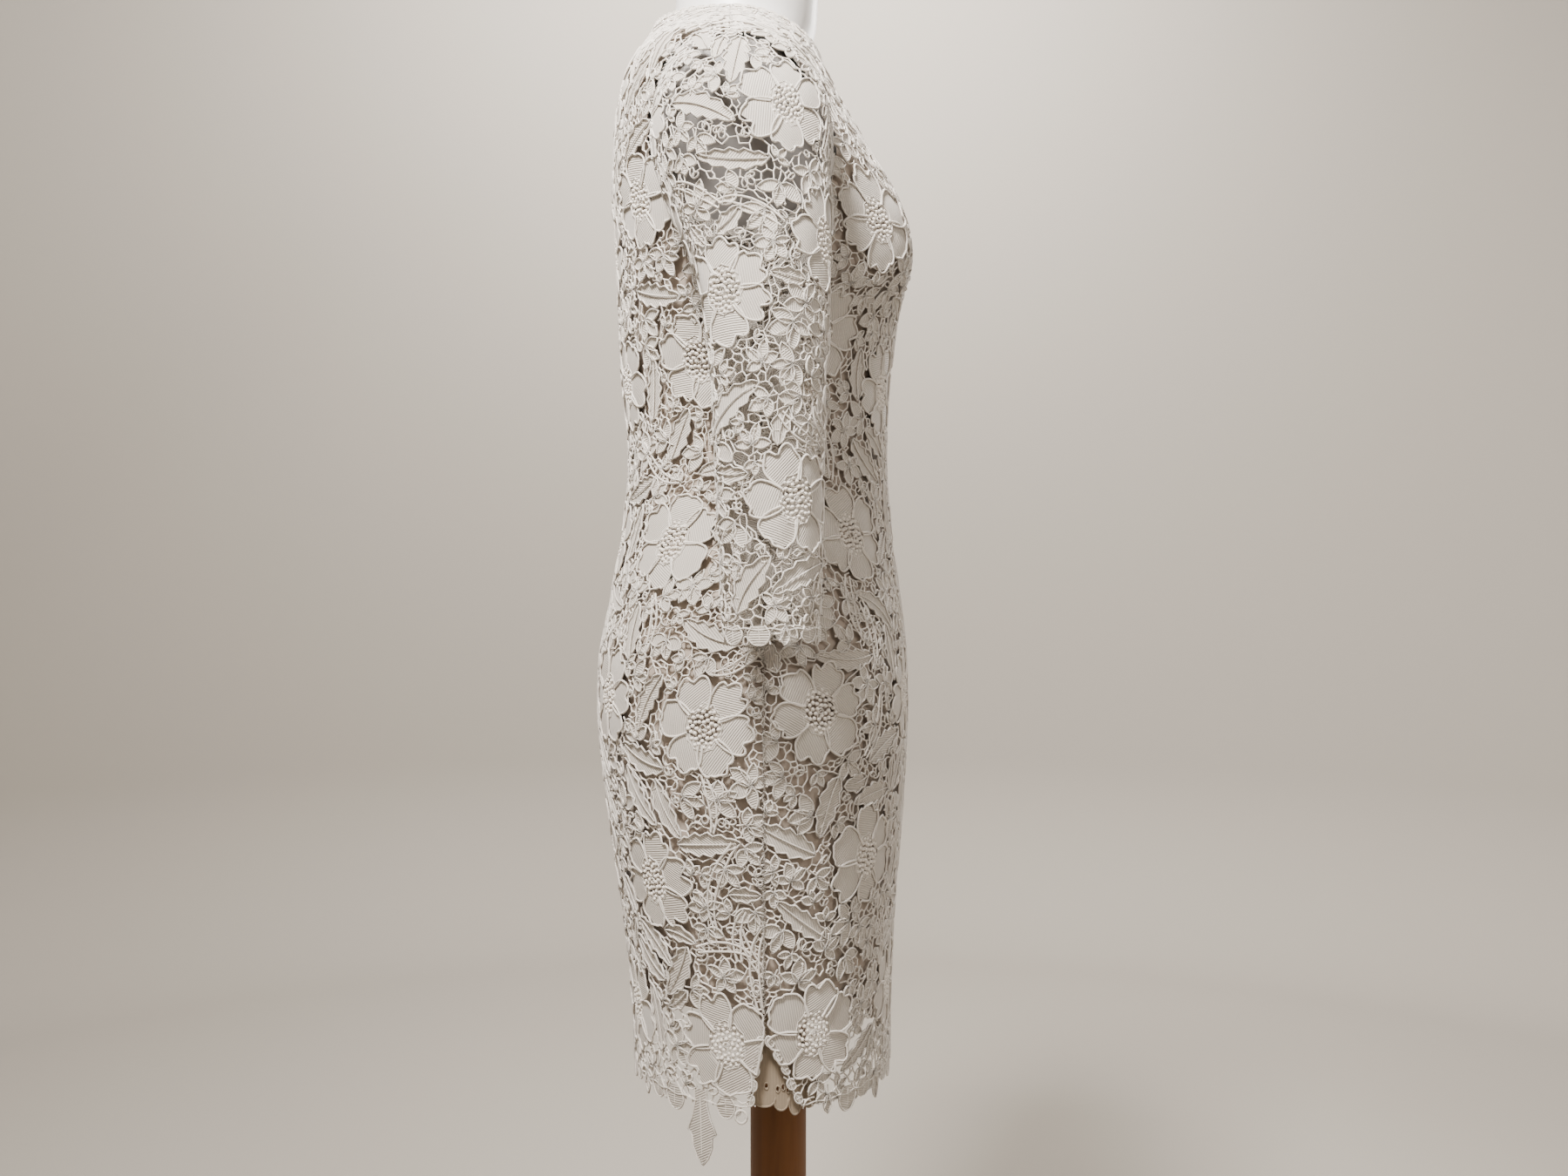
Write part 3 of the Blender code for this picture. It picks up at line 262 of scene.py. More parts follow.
def sleeve_ring(row, turn):
    """One ring of the table, with its folds."""
    outer_x, outer_z, inner_x, inner_z, front, back = SLEEVE[row]
    swell = np.zeros(len(turn))
    if row >= FOLD_START:
        for place, reach, width in FOLDS:
            swell += reach * np.exp(-(((turn - place) / width) ** 2))
        swell *= min(1.0, (row - FOLD_START + 1) / 3)
    half = np.array([outer_x - inner_x, outer_z - inner_z]) / 2
    wide = 1 + swell / np.linalg.norm(half)
    cosine = np.cos(np.radians(turn))
    x = (outer_x + inner_x) / 2 - half[0] * wide * cosine
    z = (outer_z + inner_z) / 2 - half[1] * wide * cosine
    y = (front + back) / 2 - ((back - front) / 2 + swell) * np.sin(np.radians(turn))
    return np.stack([x, y, z], axis=-1)


def sleeve_face(turn, along):
    """Points of the left sleeve's outer face: along is 0 at the armhole, a row's number below it."""
    rings = np.stack([armhole_ring(turn)] + [sleeve_ring(row, turn) for row in range(len(SLEEVE))], axis=1)
    last = len(SLEEVE)
    row = np.clip(along.astype(int), 0, last - 1)
    t = (along - row)[None, :, None]
    before, start, end, after = (rings[:, np.clip(row + k, 0, last)] for k in (-1, 0, 1, 2))
    slope, bend = end - before, 2 * before - 5 * start + 4 * end - after
    return 0.5 * (2 * start + slope * t + bend * t**2 + (3 * start - before - 3 * end + after) * t**3)


print("sleeve rings:", len(SLEEVE), "folds:", len(FOLDS))

# %% [markdown]
# ## Flat cuts
# Lace is drawn flat and sewn into a shape, so each panel is unrolled here: u runs across from its centre
# line and v up from its hem, both in real metres along the cloth. A UV unwrap could do it too, but a
# table of positions on an even grid of u and v is quick to read in bulk, and it hardly stretches a motif.

# %% Unrolling a panel
CHART_STEP = 0.003
CHART_Z = (0.470, 1.4045)
SHARES = np.linspace(0, 1, 49)


def read_grid(grid, i, j):
    """Values between the points of a grid, at fractional places i and j."""
    i, j = np.clip(i, 0, grid.shape[0] - 1.001), np.clip(j, 0, grid.shape[1] - 1.001)
    a, b = i.astype(int), j.astype(int)
    s, t = i - a, j - b
    if grid.ndim == 3:
        s, t = s[:, None], t[:, None]
    low = grid[a, b] * (1 - s) + grid[a + 1, b] * s
    return low * (1 - t) + (grid[a, b + 1] * (1 - s) + grid[a + 1, b + 1] * s) * t


def columns_at(at, xs, table):
    """Each column of a table, read at places between those of its rows."""
    return np.stack([np.interp(at, xs, column) for column in table.T], axis=-1)


class Cut:
    """A flat cut of cloth, and the way back to the body: place() sews a flat point into place."""

    def __init__(self, name, raw, across, up, base, facing):
        self.name, self.across, self.up = name, across, up
        steps = np.linalg.norm(np.diff(raw, axis=0), axis=2)
        self.arc = np.vstack([np.zeros(len(up)), np.cumsum(steps, axis=0)])
        levels = [columns_at(SHARES * arc[-1], arc, raw[:, j]) for j, arc in enumerate(self.arc.T)]
        even = np.stack(levels, axis=1)
        rise = np.linalg.norm(np.diff(even, axis=1), axis=2)
        self.rise = np.hstack([np.zeros((len(SHARES), 1)), np.cumsum(rise, axis=1)])
        self.rise -= np.array([[np.interp(base, up, row)] for row in self.rise])
        self.low, self.high = self.rise[:, 0].max(), self.rise[:, -1].max()
        self.levels = np.arange(self.low, self.high, CHART_STEP)
        wide = np.arange(0, self.arc[-1].max() + 2 * CHART_STEP, CHART_STEP)
        tables = [np.column_stack([points, self.arc[-1]]) for points in even]
        by_share = np.stack([columns_at(self.levels, row, table) for row, table in zip(self.rise, tables)])
        by_share[..., 3] *= SHARES[:, None]
        self.reaches = by_share[-1, :, 3]
        self.points = np.empty((len(wide), len(self.levels), 3))
        for m in range(len(self.levels)):
            self.points[:, m] = columns_at(wide, by_share[:, m, 3], by_share[:, m, :3])
            outside = wide > self.reaches[m]
            before, last = by_share[-2:, m]
            slope = (last[:3] - before[:3]) / (last[3] - before[3])
            self.points[outside, m] = last[:3] + slope * (wide[outside] - self.reaches[m])[:, None]
        along = np.gradient(self.points, axis=0)
        upward = np.gradient(self.points, axis=1)
        normal = np.cross(along, upward) * facing
        self.normals = normal / np.maximum(np.linalg.norm(normal, axis=2), 1e-9)[..., None]
        self.facing = facing

    def flat(self, across, up):
        """The flat place (u, v) of a point that is given by its angle or turn, and its level."""
        across, up = np.broadcast_arrays(np.atleast_1d(across).astype(float), np.atleast_1d(up))
        i = np.interp(across, self.across, np.arange(len(self.across)))
        if self.across[0] > self.across[-1]:
            i = np.interp(across, self.across[::-1], np.arange(len(self.across))[::-1])
        j = np.interp(up, self.up, np.arange(len(self.up)))
        u = read_grid(self.arc, i, j)
        reach = np.interp(up, self.up, self.arc[-1])
        share = u / np.maximum(reach, 1e-9) * (len(SHARES) - 1)
        return np.stack([u, read_grid(self.rise, share, j)], axis=-1)

    def reach(self, v):
        """The distance from the centre line to the seam at the heights v."""
        return np.interp(v, self.levels, self.reaches)

    def place(self, flat, out, hand=None):
        """Points of the dress at flat places, out metres outside the cloth's face."""
        side = np.where(flat[:, 0] < 0, -1.0, 1.0) if hand is None else float(hand)
        i = np.abs(flat[:, 0]) / CHART_STEP
        j = (flat[:, 1] - self.low) / CHART_STEP
        found = read_grid(self.points, i, j) + read_grid(self.normals, i, j) * out[:, None]
        found[:, 0] *= side
        return found


def body_cut(part):
    """The front or the back, unrolled from its centre line to the side seam."""
    angles, heights = np.linspace(0, 90, 91), np.arange(*CHART_Z, CHART_STEP)
    raw = body_face(part, angles[:, None], heights[None, :])
    return Cut(part, raw, angles, heights, HEM_Z, 1 if part == "front" else -1)


def sleeve_cut(half):
    """Half of the sleeve, unrolled from its outer line to the underarm seam."""
    turns = np.linspace(180, 0 if half == "front" else 360, 73)
    along = np.linspace(len(SLEEVE), 0, 221)
    raw = sleeve_face(turns, along)
    return Cut("sleeve_" + half, raw, turns, -along, -len(SLEEVE), -1 if half == "front" else 1)


CUTS = {part: body_cut(part) for part in ("front", "back")}
CUTS.update({"sleeve_" + half: sleeve_cut(half) for half in ("front", "back")})
for cut in CUTS.values():
    print(cut.name, "reach", round(float(cut.reaches.max()), 3), "length", round(float(cut.high), 3))

# %% [markdown]
# ## The edge of each cut
# A panel ends at seams, where the next panel is sewn on, and at open edges: hem, neck, cuffs and vents.
# Each cut keeps two distance maps, one to its whole outline and one to its open edges. A map is read at
# a thousand points at once, so thread that crosses a seam is trimmed there without any Boolean.

# %% Outlines and distance maps
MAP_STEP = 0.002
MAP_MARGIN = 0.012
CUFF_V = 0.004


class Outline:
    """The closed edge of a cut: points in order, and whether the run that starts at each is open."""

    def __init__(self):
        self.points, self.open = [], []

    def run(self, points, is_open):
        self.points += [tuple(p) for p in points]
        self.open += [is_open] * len(points)
        return self

    def mirrored(self):
        """The outline with its mirror image in u = 0, whose runs keep their kinds."""
        whole = Outline()
        whole.points = self.points + [(-u, v) for u, v in self.points[::-1]]
        whole.open = self.open + self.open[-2::-1] + [self.open[-1]]
        return whole

    def halved(self):
        """The outline closed by a seam up its centre line."""
        self.open[-1] = False
        return self


class DistanceMap:
    """The distance to an outline over a flat cut, above zero inside it."""

    def __init__(self, outline, only_open=False):
        points = np.array(outline.points)
        self.low = points.min(axis=0) - MAP_MARGIN
        counts = np.ceil((points.max(axis=0) + MAP_MARGIN - self.low) / MAP_STEP).astype(int) + 1
        us = self.low[0] + MAP_STEP * np.arange(counts[0])
        vs = self.low[1] + MAP_STEP * np.arange(counts[1])
        u, v = np.meshgrid(us, vs, indexing="ij")
        near, inside = np.full(u.shape, 1.0), np.zeros(u.shape, bool)
        for a, b, is_open in zip(points, np.roll(points, -1, axis=0), outline.open):
            if is_open or not only_open:
                span = b - a
                share = ((u - a[0]) * span[0] + (v - a[1]) * span[1]) / max(span @ span, 1e-12)
                share = np.clip(share, 0, 1)
                np.minimum(near, np.hypot(u - a[0] - span[0] * share, v - a[1] - span[1] * share), out=near)
            if a[1] != b[1]:
                crossed = (a[1] > v) != (b[1] > v)
                inside ^= crossed & (u < (b[0] - a[0]) * (v - a[1]) / (b[1] - a[1]) + a[0])
        self.distance = np.where(inside, near, -near)
        self.slope_u, self.slope_v = np.gradient(self.distance, MAP_STEP)

    def read(self, grid, flat):
        return read_grid(grid, *((flat - self.low) / MAP_STEP).T)

    def at(self, flat):
        return self.read(self.distance, flat)

    def trimmed(self, flat, distance):
        """The points with those outside moved back to the edge."""
        slope = np.stack([self.read(self.slope_u, flat), self.read(self.slope_v, flat)], axis=1)
        slope /= np.maximum(np.linalg.norm(slope, axis=1), 0.2)[:, None]
        return flat - slope * np.minimum(distance, 0)[:, None]


def body_outline(cut, lining=False):
    """Half the edge of a body panel, from the hem's centre round to the neck's centre."""
    edge = Outline()
    if lining:
        foot = LINING_HEM_Z
        us = np.linspace(0, cut.reach(foot - HEM_Z), 30)
        edge.run([(u, foot - HEM_Z) for u in us[:-1]], True)
    else:
        foot = VENT_TOP_Z
        spread = VENT_SPREAD[cut.name]
        edge.run([(u, 0.0) for u in np.linspace(0, cut.reach(0.0) - spread, 40)], True)
        middle = (foot - HEM_Z) / 2
        edge.run([(cut.reach(middle) - spread * 0.55, middle)], True)
        cut.vent = np.array(edge.points[-2:] + [(cut.reach(foot - HEM_Z), foot - HEM_Z)])
    grow = LINING_ARMHOLE_GROW if lining else 0.0
    low, high = ARMHOLE_Z[0] - grow, ARMHOLE_Z[1] + grow
    edge.run(cut.flat(90.0, np.linspace(foot, low, 60))[:-1], False)
    z = (low + high) / 2 - (high - low) / 2 * np.cos(np.linspace(0, math.pi, 30))
    away = (ARMHOLE_DEPTH[cut.name] + grow) * np.sin(np.linspace(0, math.pi, 30))
    edge.run(cut.flat(armhole_angle(cut.name, z, away), z)[:-1], lining)
    drop = LINING_NECK_DROP if lining else 0.0
    edge.run(cut.flat(90.0, np.linspace(high, NECK_Z["side"] - drop, 12))[:-1], False)
    angles = np.linspace(90, 0, 30)
    centre = NECK_Z[cut.name]
    neck = centre + (NECK_Z["side"] - centre) * np.sin(np.radians(angles)) ** 2 - drop
    edge.run(cut.flat(angles, neck), True)
    if not lining:
        cut.neck = np.array(edge.points[-len(angles):])
    return edge


class Sleeve:
    """A sleeve laid out whole: u is below zero on its front half and above zero on its back half."""

    name, facing = "sleeve", 1

    def __init__(self, front, back):
        self.halves = front, back

    def place(self, flat, out, hand):
        on_front, on_back = (half.place(flat, out, hand) for half in self.halves)
        return np.where(flat[:, :1] < 0, on_front, on_back)

    def edge_points(self):
        """The outline: the cuff from front to back, up the underarm seam, round the cap and down."""
        front, back = self.halves
        rows = np.linspace(-float(len(SLEEVE)), 0, 60)
        cuff = np.linspace(-front.reach(CUFF_V), back.reach(CUFF_V), 60)
        edge = Outline().run([(u, CUFF_V) for u in cuff[:-1]], True)
        edge.run(back.flat(360.0, rows)[1:-1], False)
        edge.run(back.flat(np.linspace(360, 180, 40), 0.0)[:-1], False)
        edge.run(front.flat(np.linspace(180, 0, 40), 0.0)[:-1] * (-1, 1), False)
        return edge.run(front.flat(0.0, rows[::-1])[:-1] * (-1, 1), False)


CUTS["sleeve"] = Sleeve(CUTS["sleeve_front"], CUTS["sleeve_back"])
OUTLINES = {
    "front": body_outline(CUTS["front"]).mirrored(),
    "back": body_outline(CUTS["back"]).halved(),
    "sleeve": CUTS["sleeve"].edge_points(),
}
for name, outline in OUTLINES.items():
    cut = CUTS[name]
    cut.outline = np.array(outline.points)
    cut.edge, cut.open_edge = DistanceMap(outline), DistanceMap(outline, only_open=True)
    print(name, "outline of", len(outline.points), "points, map", cut.edge.distance.shape)

# %% [markdown]
# ## Drawing with thread
# Every motif is a few strokes of cord, some filled patches of satin stitch, and knots. They are drawn
# around their own centre first, in metres, and turned and moved to a place on the cut afterwards. High
# says how far a thing stands off the cloth's face. A hair system or curves with a bevel would make cords
# as well, but one mesh for all the cords of a panel is far lighter.

# %% A drawing made of strokes, patches and knots
class Drawing:
    """Strokes, filled patches and knots, all in flat metres."""

    def __init__(self):
        self.strokes, self.patches, self.knots = [], [], []

    def stroke(self, flat, radius, high, closed=False):
        """A cord along the points: radius and high are one number, or one for each point."""
        flat = np.asarray(flat, float)
        radius, high = np.broadcast_to(radius, len(flat)), np.broadcast_to(high, len(flat))
        self.strokes.append((flat, np.array(radius), np.array(high), closed))

    def patch(self, grid, high, ribs):
        """A filled patch over a grid of points, with its satin ribs at an angle."""
        grid = np.asarray(grid, float)
        self.patches.append((grid, np.broadcast_to(high, grid.shape[:2]), ribs))

    def knot(self, flat, radius, high):
        self.knots.append((flat[0], flat[1], radius, high))

    def add(self, other, centre=(0.0, 0.0), turn=0.0, lift=0.0):
        """Draws another drawing here, turned about its own centre."""
        cosine, sine = math.cos(turn), math.sin(turn)
        spin = np.array([[cosine, sine], [-sine, cosine]])
        self.strokes += [(p @ spin + centre, r, h + lift, c) for p, r, h, c in other.strokes]
        self.patches += [(g @ spin + centre, h + lift, ribs + turn) for g, h, ribs in other.patches]
        for x, y, radius, high in other.knots:
            x, y = np.array([x, y]) @ spin + centre
            self.knots.append((x, y, radius, high + lift))
        return self

    def spots(self):
        """Points all over the drawing, close enough together to say what it covers."""
        found = [p for p, *_ in self.strokes]
        for grid, *_ in self.patches:
            for _ in range(2):
                grid = finer(finer(grid).swapaxes(0, 1)).swapaxes(0, 1)
            found.append(grid.reshape(-1, 2))
        if self.knots:
            found.append(np.array(self.knots)[:, :2])
        return np.concatenate(found)


def finer(grid):
    """A grid with a new row halfway between each two rows."""
    made = np.empty((2 * len(grid) - 1, *grid.shape[1:]))
    made[::2], made[1::2] = grid, (grid[:-1] + grid[1:]) / 2
    return made


def full_turn(count):
    """Angles once round, evenly spaced."""
    return np.linspace(0, 2 * math.pi, count + 1)[:-1]


def oval(turns, wide, high):
    """Points of an oval at some turns, from its two half sizes."""
    return np.stack([wide * np.cos(turns), high * np.sin(turns)], axis=1)


def bent(along, aside, bend):
    """Points of a blade that curves sideways: along its middle, and aside from it."""
    reach = along.max()
    x = along - aside * 2 * bend * along / reach
    return np.stack([x, aside + bend * along**2 / reach], axis=-1)


blade_end = bent(np.array([0.0, 0.03]), np.zeros(2), 0.2)[-1]
print("a blade of 30 mm with a bend of 0.2 ends at", [round(float(x), 4) for x in blade_end])

# %% [markdown]
# ## The large flower
# A flat open flower about 8 cm wide: six satin petals with wavy, notched rims under a thick cord, round a
# heart of about fifty small knots with an eyelet in its middle. Each petal lies a little over its
# neighbour, and its ribs run their own way, as on the real lace.

# %% The flower motif
FLOWER_R = 0.0390
PETALS = 6
HEART_SHARE = 0.355
HEART_KNOTS = 50
HEART_LONG = 1.22
HEART_KNOT_R = (0.00158, 0.00182)
HEART_KNOT_HIGH = (0.0011, 0.0015)
FLOWER_SWING = 9.0
EYE_R = 0.0021
RIM_CORD = 0.00094
GOLDEN_TURN = 2.39996


def petal(middle, half, heart, long):
    """One petal of a flower: its patch, and the cord round its rim."""
    drawn = Drawing()
    notch, depth = rng.uniform(-0.45, 0.45), rng.uniform(0.10, 0.24)
    phase, lift, foot = rng.uniform(0, 6.0), rng.uniform(0.0, 0.0008), heart * 0.84

    def rim(across):
        round_end = (1 - np.abs(across) ** 2.8) ** 0.42
        dip = 1 - depth * np.exp(-(((across - notch) / 0.15) ** 2)) + 0.045 * np.cos(9 * across + phase)
        dip = dip - 0.10 * np.exp(-(((across - notch + 0.75 * np.sign(notch)) / 0.10) ** 2))
        return foot + (long - foot) * round_end * dip

    def spot(across, share):
        far = foot + (rim(across) - foot) * share
        turn = middle + half * across * (0.86 + 0.14 * share)
        return np.stack([far * np.cos(turn), far * np.sin(turn)], axis=-1)

    across = np.sin(np.linspace(-math.pi / 2, math.pi / 2, 9)) * 0.995
    share = np.linspace(0, 1, 6)[:, None]
    dome = 0.0006 * np.sin(math.pi * share**0.8) * (1 - across[None, :] ** 2)
    drawn.patch(spot(across[None, :], share), lift + dome - 0.0005, middle + rng.uniform(-0.9, 0.9))
    fine = np.sin(np.linspace(-math.pi / 2, math.pi / 2, 29)) * 0.999
    drawn.stroke(spot(fine, 1.0), RIM_CORD, 0.0003 + lift)
    return drawn


def flower(start):
    """A whole flower, turned by an angle: petals, heart knots, two rings and the eyelet."""
    drawn = Drawing()
    heart = FLOWER_R * HEART_SHARE
    for n in range(PETALS):
        middle = start + 2 * math.pi * n / PETALS + rng.uniform(-0.07, 0.07)
        half = math.pi / PETALS * rng.uniform(1.02, 1.20)
        drawn.add(petal(middle, half, heart, FLOWER_R * rng.uniform(0.92, 1.06)))
    for n in range(1, HEART_KNOTS):
        far = heart * 0.98 * math.sqrt((n + 0.5) / HEART_KNOTS)
        turn = start + GOLDEN_TURN * n
        spot = (far * math.cos(turn), HEART_LONG * far * math.sin(turn))
        drawn.knot(spot, rng.uniform(*HEART_KNOT_R), rng.uniform(*HEART_KNOT_HIGH))
    turns = full_turn(36)
    for far, cord, high in ((heart * 1.06, 0.00060, 0.0003), (heart * 0.62, 0.00045, -0.0011)):
        wave = far * (1 + 0.045 * np.cos(12 * turns))
        drawn.stroke(oval(turns, wave, HEART_LONG * wave), cord, high, True)
    drawn.stroke(oval(turns[::4], EYE_R, EYE_R), 0.0006, 0.0007, True)
    return drawn


sample = flower(0.0)
print("flower:", len(sample.patches), "petals,", len(sample.knots), "knots")

# %% [markdown]
# ## Leaves, lilies, loops and stems
# Between the flowers lie serrated leaves with a raised midrib, little lilies of a few pointed petals,
# open loops, pairs of curved stems joined by short bars, and hooked tendrils. They are small functions
# of a length and a bend, so that no two come out alike.

# %% The smaller motifs
LEAF_CORD = 0.00088
VEIN_CORD = 0.00080
STEM_CORD = 0.00092
SMALL_LILY = 0.0135
SATIN_DIP = 0.0006
LOOP_SPREAD = 1.1


def leaf_edge(along, width, bend):
    """The closed edge of a leaf: up one side from its stalk and down the other."""
    return np.concatenate([bent(along, width, bend), bent(along, -width, bend)[-2:0:-1]])


def leaf(long, half, bend):
    """A serrated leaf from its stalk at the centre, along x."""
    drawn = Drawing()
    teeth = max(3, round(long / 0.0105))
    share = np.linspace(0, 1, 3 * teeth + 1)
    saw = 0.68 + 0.42 * ((share * teeth) % 1.0)
    width = half * np.sin(math.pi * np.clip(share, 0.02, 0.99) ** 0.85) ** 0.72 * saw
    across = np.linspace(-1, 1, 5)[None, :]
    grid = bent(share[:, None] * long, width[:, None] * across, bend)
    drawn.patch(grid, -SATIN_DIP * (1.6 - np.abs(across)) + 0 * grid[..., 0], 0.9)
    drawn.stroke(leaf_edge(share * long, width, bend), LEAF_CORD, 0.0003, True)
    rib = np.linspace(0, 0.93, 9)
    drawn.stroke(bent(rib * long, 0 * rib, bend), np.linspace(1.1, 0.6, 9) * VEIN_CORD, 0.0002)
    return drawn


def blade(long, half, bend, high=0.0):
    """A plain pointed petal from the centre along x."""
    drawn = Drawing()
    share = np.linspace(0, 1, 7 if long > SMALL_LILY else 6)
    width = half * np.sin(math.pi * np.clip(share, 0.03, 0.98) ** 0.9) ** 0.75
    across = np.array([[-1.0, 0.0, 1.0]])
    grid = bent(share[:, None] * long, width[:, None] * across, bend)
    drawn.patch(grid, high - SATIN_DIP * (1 - across**2) + 0 * grid[..., 0], rng.uniform(-0.5, 0.5))
    drawn.stroke(leaf_edge(share * long, width, bend), LEAF_CORD, high + 0.0002, True)
    return drawn


def lily(size, petals):
    """A fan of pointed petals on a short stalk, with two stamens if it is large."""
    drawn = Drawing()
    spread = math.radians(rng.uniform(54, 68))
    for n in range(petals):
        turn = (n - (petals - 1) / 2) * spread
        long = size * rng.uniform(0.84, 1.08) * (1 - 0.06 * abs(turn))
        drawn.add(blade(long, long * rng.uniform(0.22, 0.30), rng.uniform(-0.15, 0.15)), turn=turn)
    stalk = np.linspace(0, -0.45, 4) * size
    drawn.stroke(bent(stalk - stalk.min(), 0 * stalk, 0.2) + (stalk.min(), 0), 0.0007, 0.0001)
    for side in (-1, 1) if size > SMALL_LILY else ():
        along = np.linspace(0.1, 0.72, 4) * size
        stamen = bent(along, side * 0.06 * size + 0 * along, 0.25 * side)
        drawn.stroke(stamen, 0.0004, 0.0009)
        drawn.knot(stamen[-1], 0.0011, 0.0011)
    return drawn


def loops(size, count):
    """Open loops side by side, like the eyelets of the lace."""
    drawn = Drawing()
    turns = full_turn(10)
    for n in range(count):
        long, wide = size * rng.uniform(0.85, 1.15), size * rng.uniform(0.50, 0.75)
        ring = np.stack([long * (1 + np.cos(turns)), wide * np.sin(turns)], axis=1)
        part = Drawing()
        part.stroke(ring, LEAF_CORD, 0.0, True)
        drawn.add(part, turn=(n - (count - 1) / 2) * LOOP_SPREAD)
    return drawn


def stems(long, bend, apart):
    """Two curved stems side by side, with short bars between them."""
    drawn = Drawing()
    along = np.linspace(0, long, max(6, round(long / 0.0045)))
    middle = np.array((long / 2, bend * long / 4))
    aside = apart / 2 * np.sin(math.pi * np.clip(along / long, 0.06, 0.94)) ** 0.5
    sides = [bent(along, side * aside, bend) - middle for side in (-1, 1)]
    for line in sides:
        drawn.stroke(line, STEM_CORD, 0.0001)
    for n in range(1, len(along) - 1):
        drawn.stroke([sides[0][n], sides[1][n]], 0.8 * VEIN_CORD, -0.0004)
    return drawn


def curl(long):
    """One hooked cord, such as a tendril."""
    drawn = Drawing()
    turn = np.linspace(0, rng.uniform(1.6, 3.6), 6)
    size = long / turn[-1]
    hook = np.stack([size * np.sin(turn), size * (1 - np.cos(turn))], axis=1)
    drawn.stroke(hook, 0.95 * LEAF_CORD, 0.0003)
    return drawn


for title, made in (("leaf", leaf(0.05, 0.01, 0.1)), ("lily", lily(0.015, 4)), ("loops", loops(0.004, 2))):
    print(title, len(made.strokes), "strokes", len(made.patches), "patches")

# %% [markdown]
# ## Filling a panel
# The lace designer sets the large flowers first and fills the space between with ever smaller motifs.
# The same is done here: a board of one-millimetre squares remembers what is taken, and a motif goes down
# only where its own spots find free cloth. Seeded random numbers give the same lace on every run.

# %% Setting motifs on a cut
BOARD_STEP = 0.001
INSIDE_SHARE = 0.7
EDGE_CLEAR = 0.0012


class Board:
    """Which square millimetres of a cut are already covered."""

    def __init__(self, cut):
        self.cut = cut
        self.low = cut.edge.low
        size = (np.array(cut.edge.distance.shape) * MAP_STEP / BOARD_STEP).astype(int) + 1
        self.taken = np.zeros(size, bool)
        self.brush = np.array([(i, j) for i in (-1, 0, 1) for j in (-1, 0, 1)])
        self.drawing = Drawing()

    def squares(self, spots):
        found = np.round((spots - self.low) / BOARD_STEP).astype(int)
        return np.clip(found, 0, np.array(self.taken.shape) - 1)

    def put(self, drawing, spots):
        self.drawing.add(drawing)
        squares = (self.squares(spots)[:, None] + self.brush[None]).reshape(-1, 2)
        squares = np.clip(squares, 0, np.array(self.taken.shape) - 1)
        self.taken[squares[:, 0], squares[:, 1]] = True

    def try_put(self, drawing, overlap):
        """Sets a drawing down if it finds room, and says whether it did."""
        spots = drawing.spots()
        squares = self.squares(spots[::3])
        if self.taken[squares[:, 0], squares[:, 1]].mean() > overlap:
            return False
        if (self.cut.edge.at(spots[::3]) > 0.0005).mean() < INSIDE_SHARE:
            return False
        if (np.abs(self.cut.open_edge.at(spots[::3])) < EDGE_CLEAR).any():
            return False
        self.put(drawing, spots)
        return True


def scatter(board, make, tries, overlap):
    """Tries a motif at random places and turns, and counts how many found room."""
    low, high = board.cut.outline.min(axis=0), board.cut.outline.max(axis=0)
    done = 0
    for _ in range(tries):
        centre = rng.uniform(low, high)
        turn = rng.uniform(0, 2 * math.pi)
        square = board.squares(centre[None])[0]
        if board.taken[square[0], square[1]] or board.cut.edge.at(centre[None])[0] < 0.001:
            continue
        done += board.try_put(Drawing().add(make(), centre, turn), overlap)
    return done


# From the largest to the smallest: how one is made, tries for each square metre, overlap
SMALL_MOTIFS = (
    (
        lambda: leaf(rng.uniform(0.040, 0.056), rng.uniform(0.0085, 0.0110), rng.uniform(-0.35, 0.35)),
        900,
        0.10,
    ),
    (
        lambda: stems(rng.uniform(0.028, 0.055), rng.uniform(0.4, 0.9) * rng.choice((-1, 1)), 0.0050),
        900,
        0.12,
    ),
    (lambda: lily(rng.uniform(0.015, 0.021), rng.integers(3, 6)), 9000, 0.16),
    (
        lambda: leaf(rng.uniform(0.022, 0.032), rng.uniform(0.0060, 0.0080), rng.uniform(-0.4, 0.4)),
        3600,
        0.16,
    ),
    (lambda: lily(rng.uniform(0.010, 0.0135), 3), 16000, 0.20),
    (lambda: loops(rng.uniform(0.0028, 0.0044), rng.integers(1, 4)), 14000, 0.16),
    (lambda: curl(rng.uniform(0.010, 0.022)), 9000, 0.45),
)


def fill(board):
    """The smaller motifs of a panel in the table's order, and how many of each found room."""
    area = (board.cut.edge.distance > 0).sum() * MAP_STEP**2
    return [scatter(board, make, int(tries * area), overlap) for make, tries, overlap in SMALL_MOTIFS]


# Flower centres, given one by one. On the body: distance from the centre line, and z. On the sleeve: u and
# v
FLOWERS = {
    "front": (
        (0.064, 1.320), (0.123, 1.206), (0.000, 1.200), (0.062, 1.080), (0.155, 1.115), (0.131, 0.960),
        (0.000, 0.955), (0.068, 0.835), (0.195, 0.828), (0.141, 0.714), (0.000, 0.715), (0.070, 0.600),
        (0.184, 0.588),
    ),
    "back": (
        (0.060, 1.325), (0.118, 1.222), (0.035, 1.195), (0.058, 1.085), (0.155, 1.095), (0.144, 0.954),
        (0.040, 0.955), (0.098, 0.834), (0.210, 0.816), (0.147, 0.696), (0.045, 0.705), (0.200, 0.580),
        (0.085, 0.588),
    ),
    "sleeve": (
        (-0.030, 0.388), (-0.135, 0.395), (-0.020, 0.102), (-0.085, 0.190), (-0.060, 0.290),
        (0.110, 0.400), (0.033, 0.252), (0.085, 0.115), (0.112, 0.300),
    ),
}


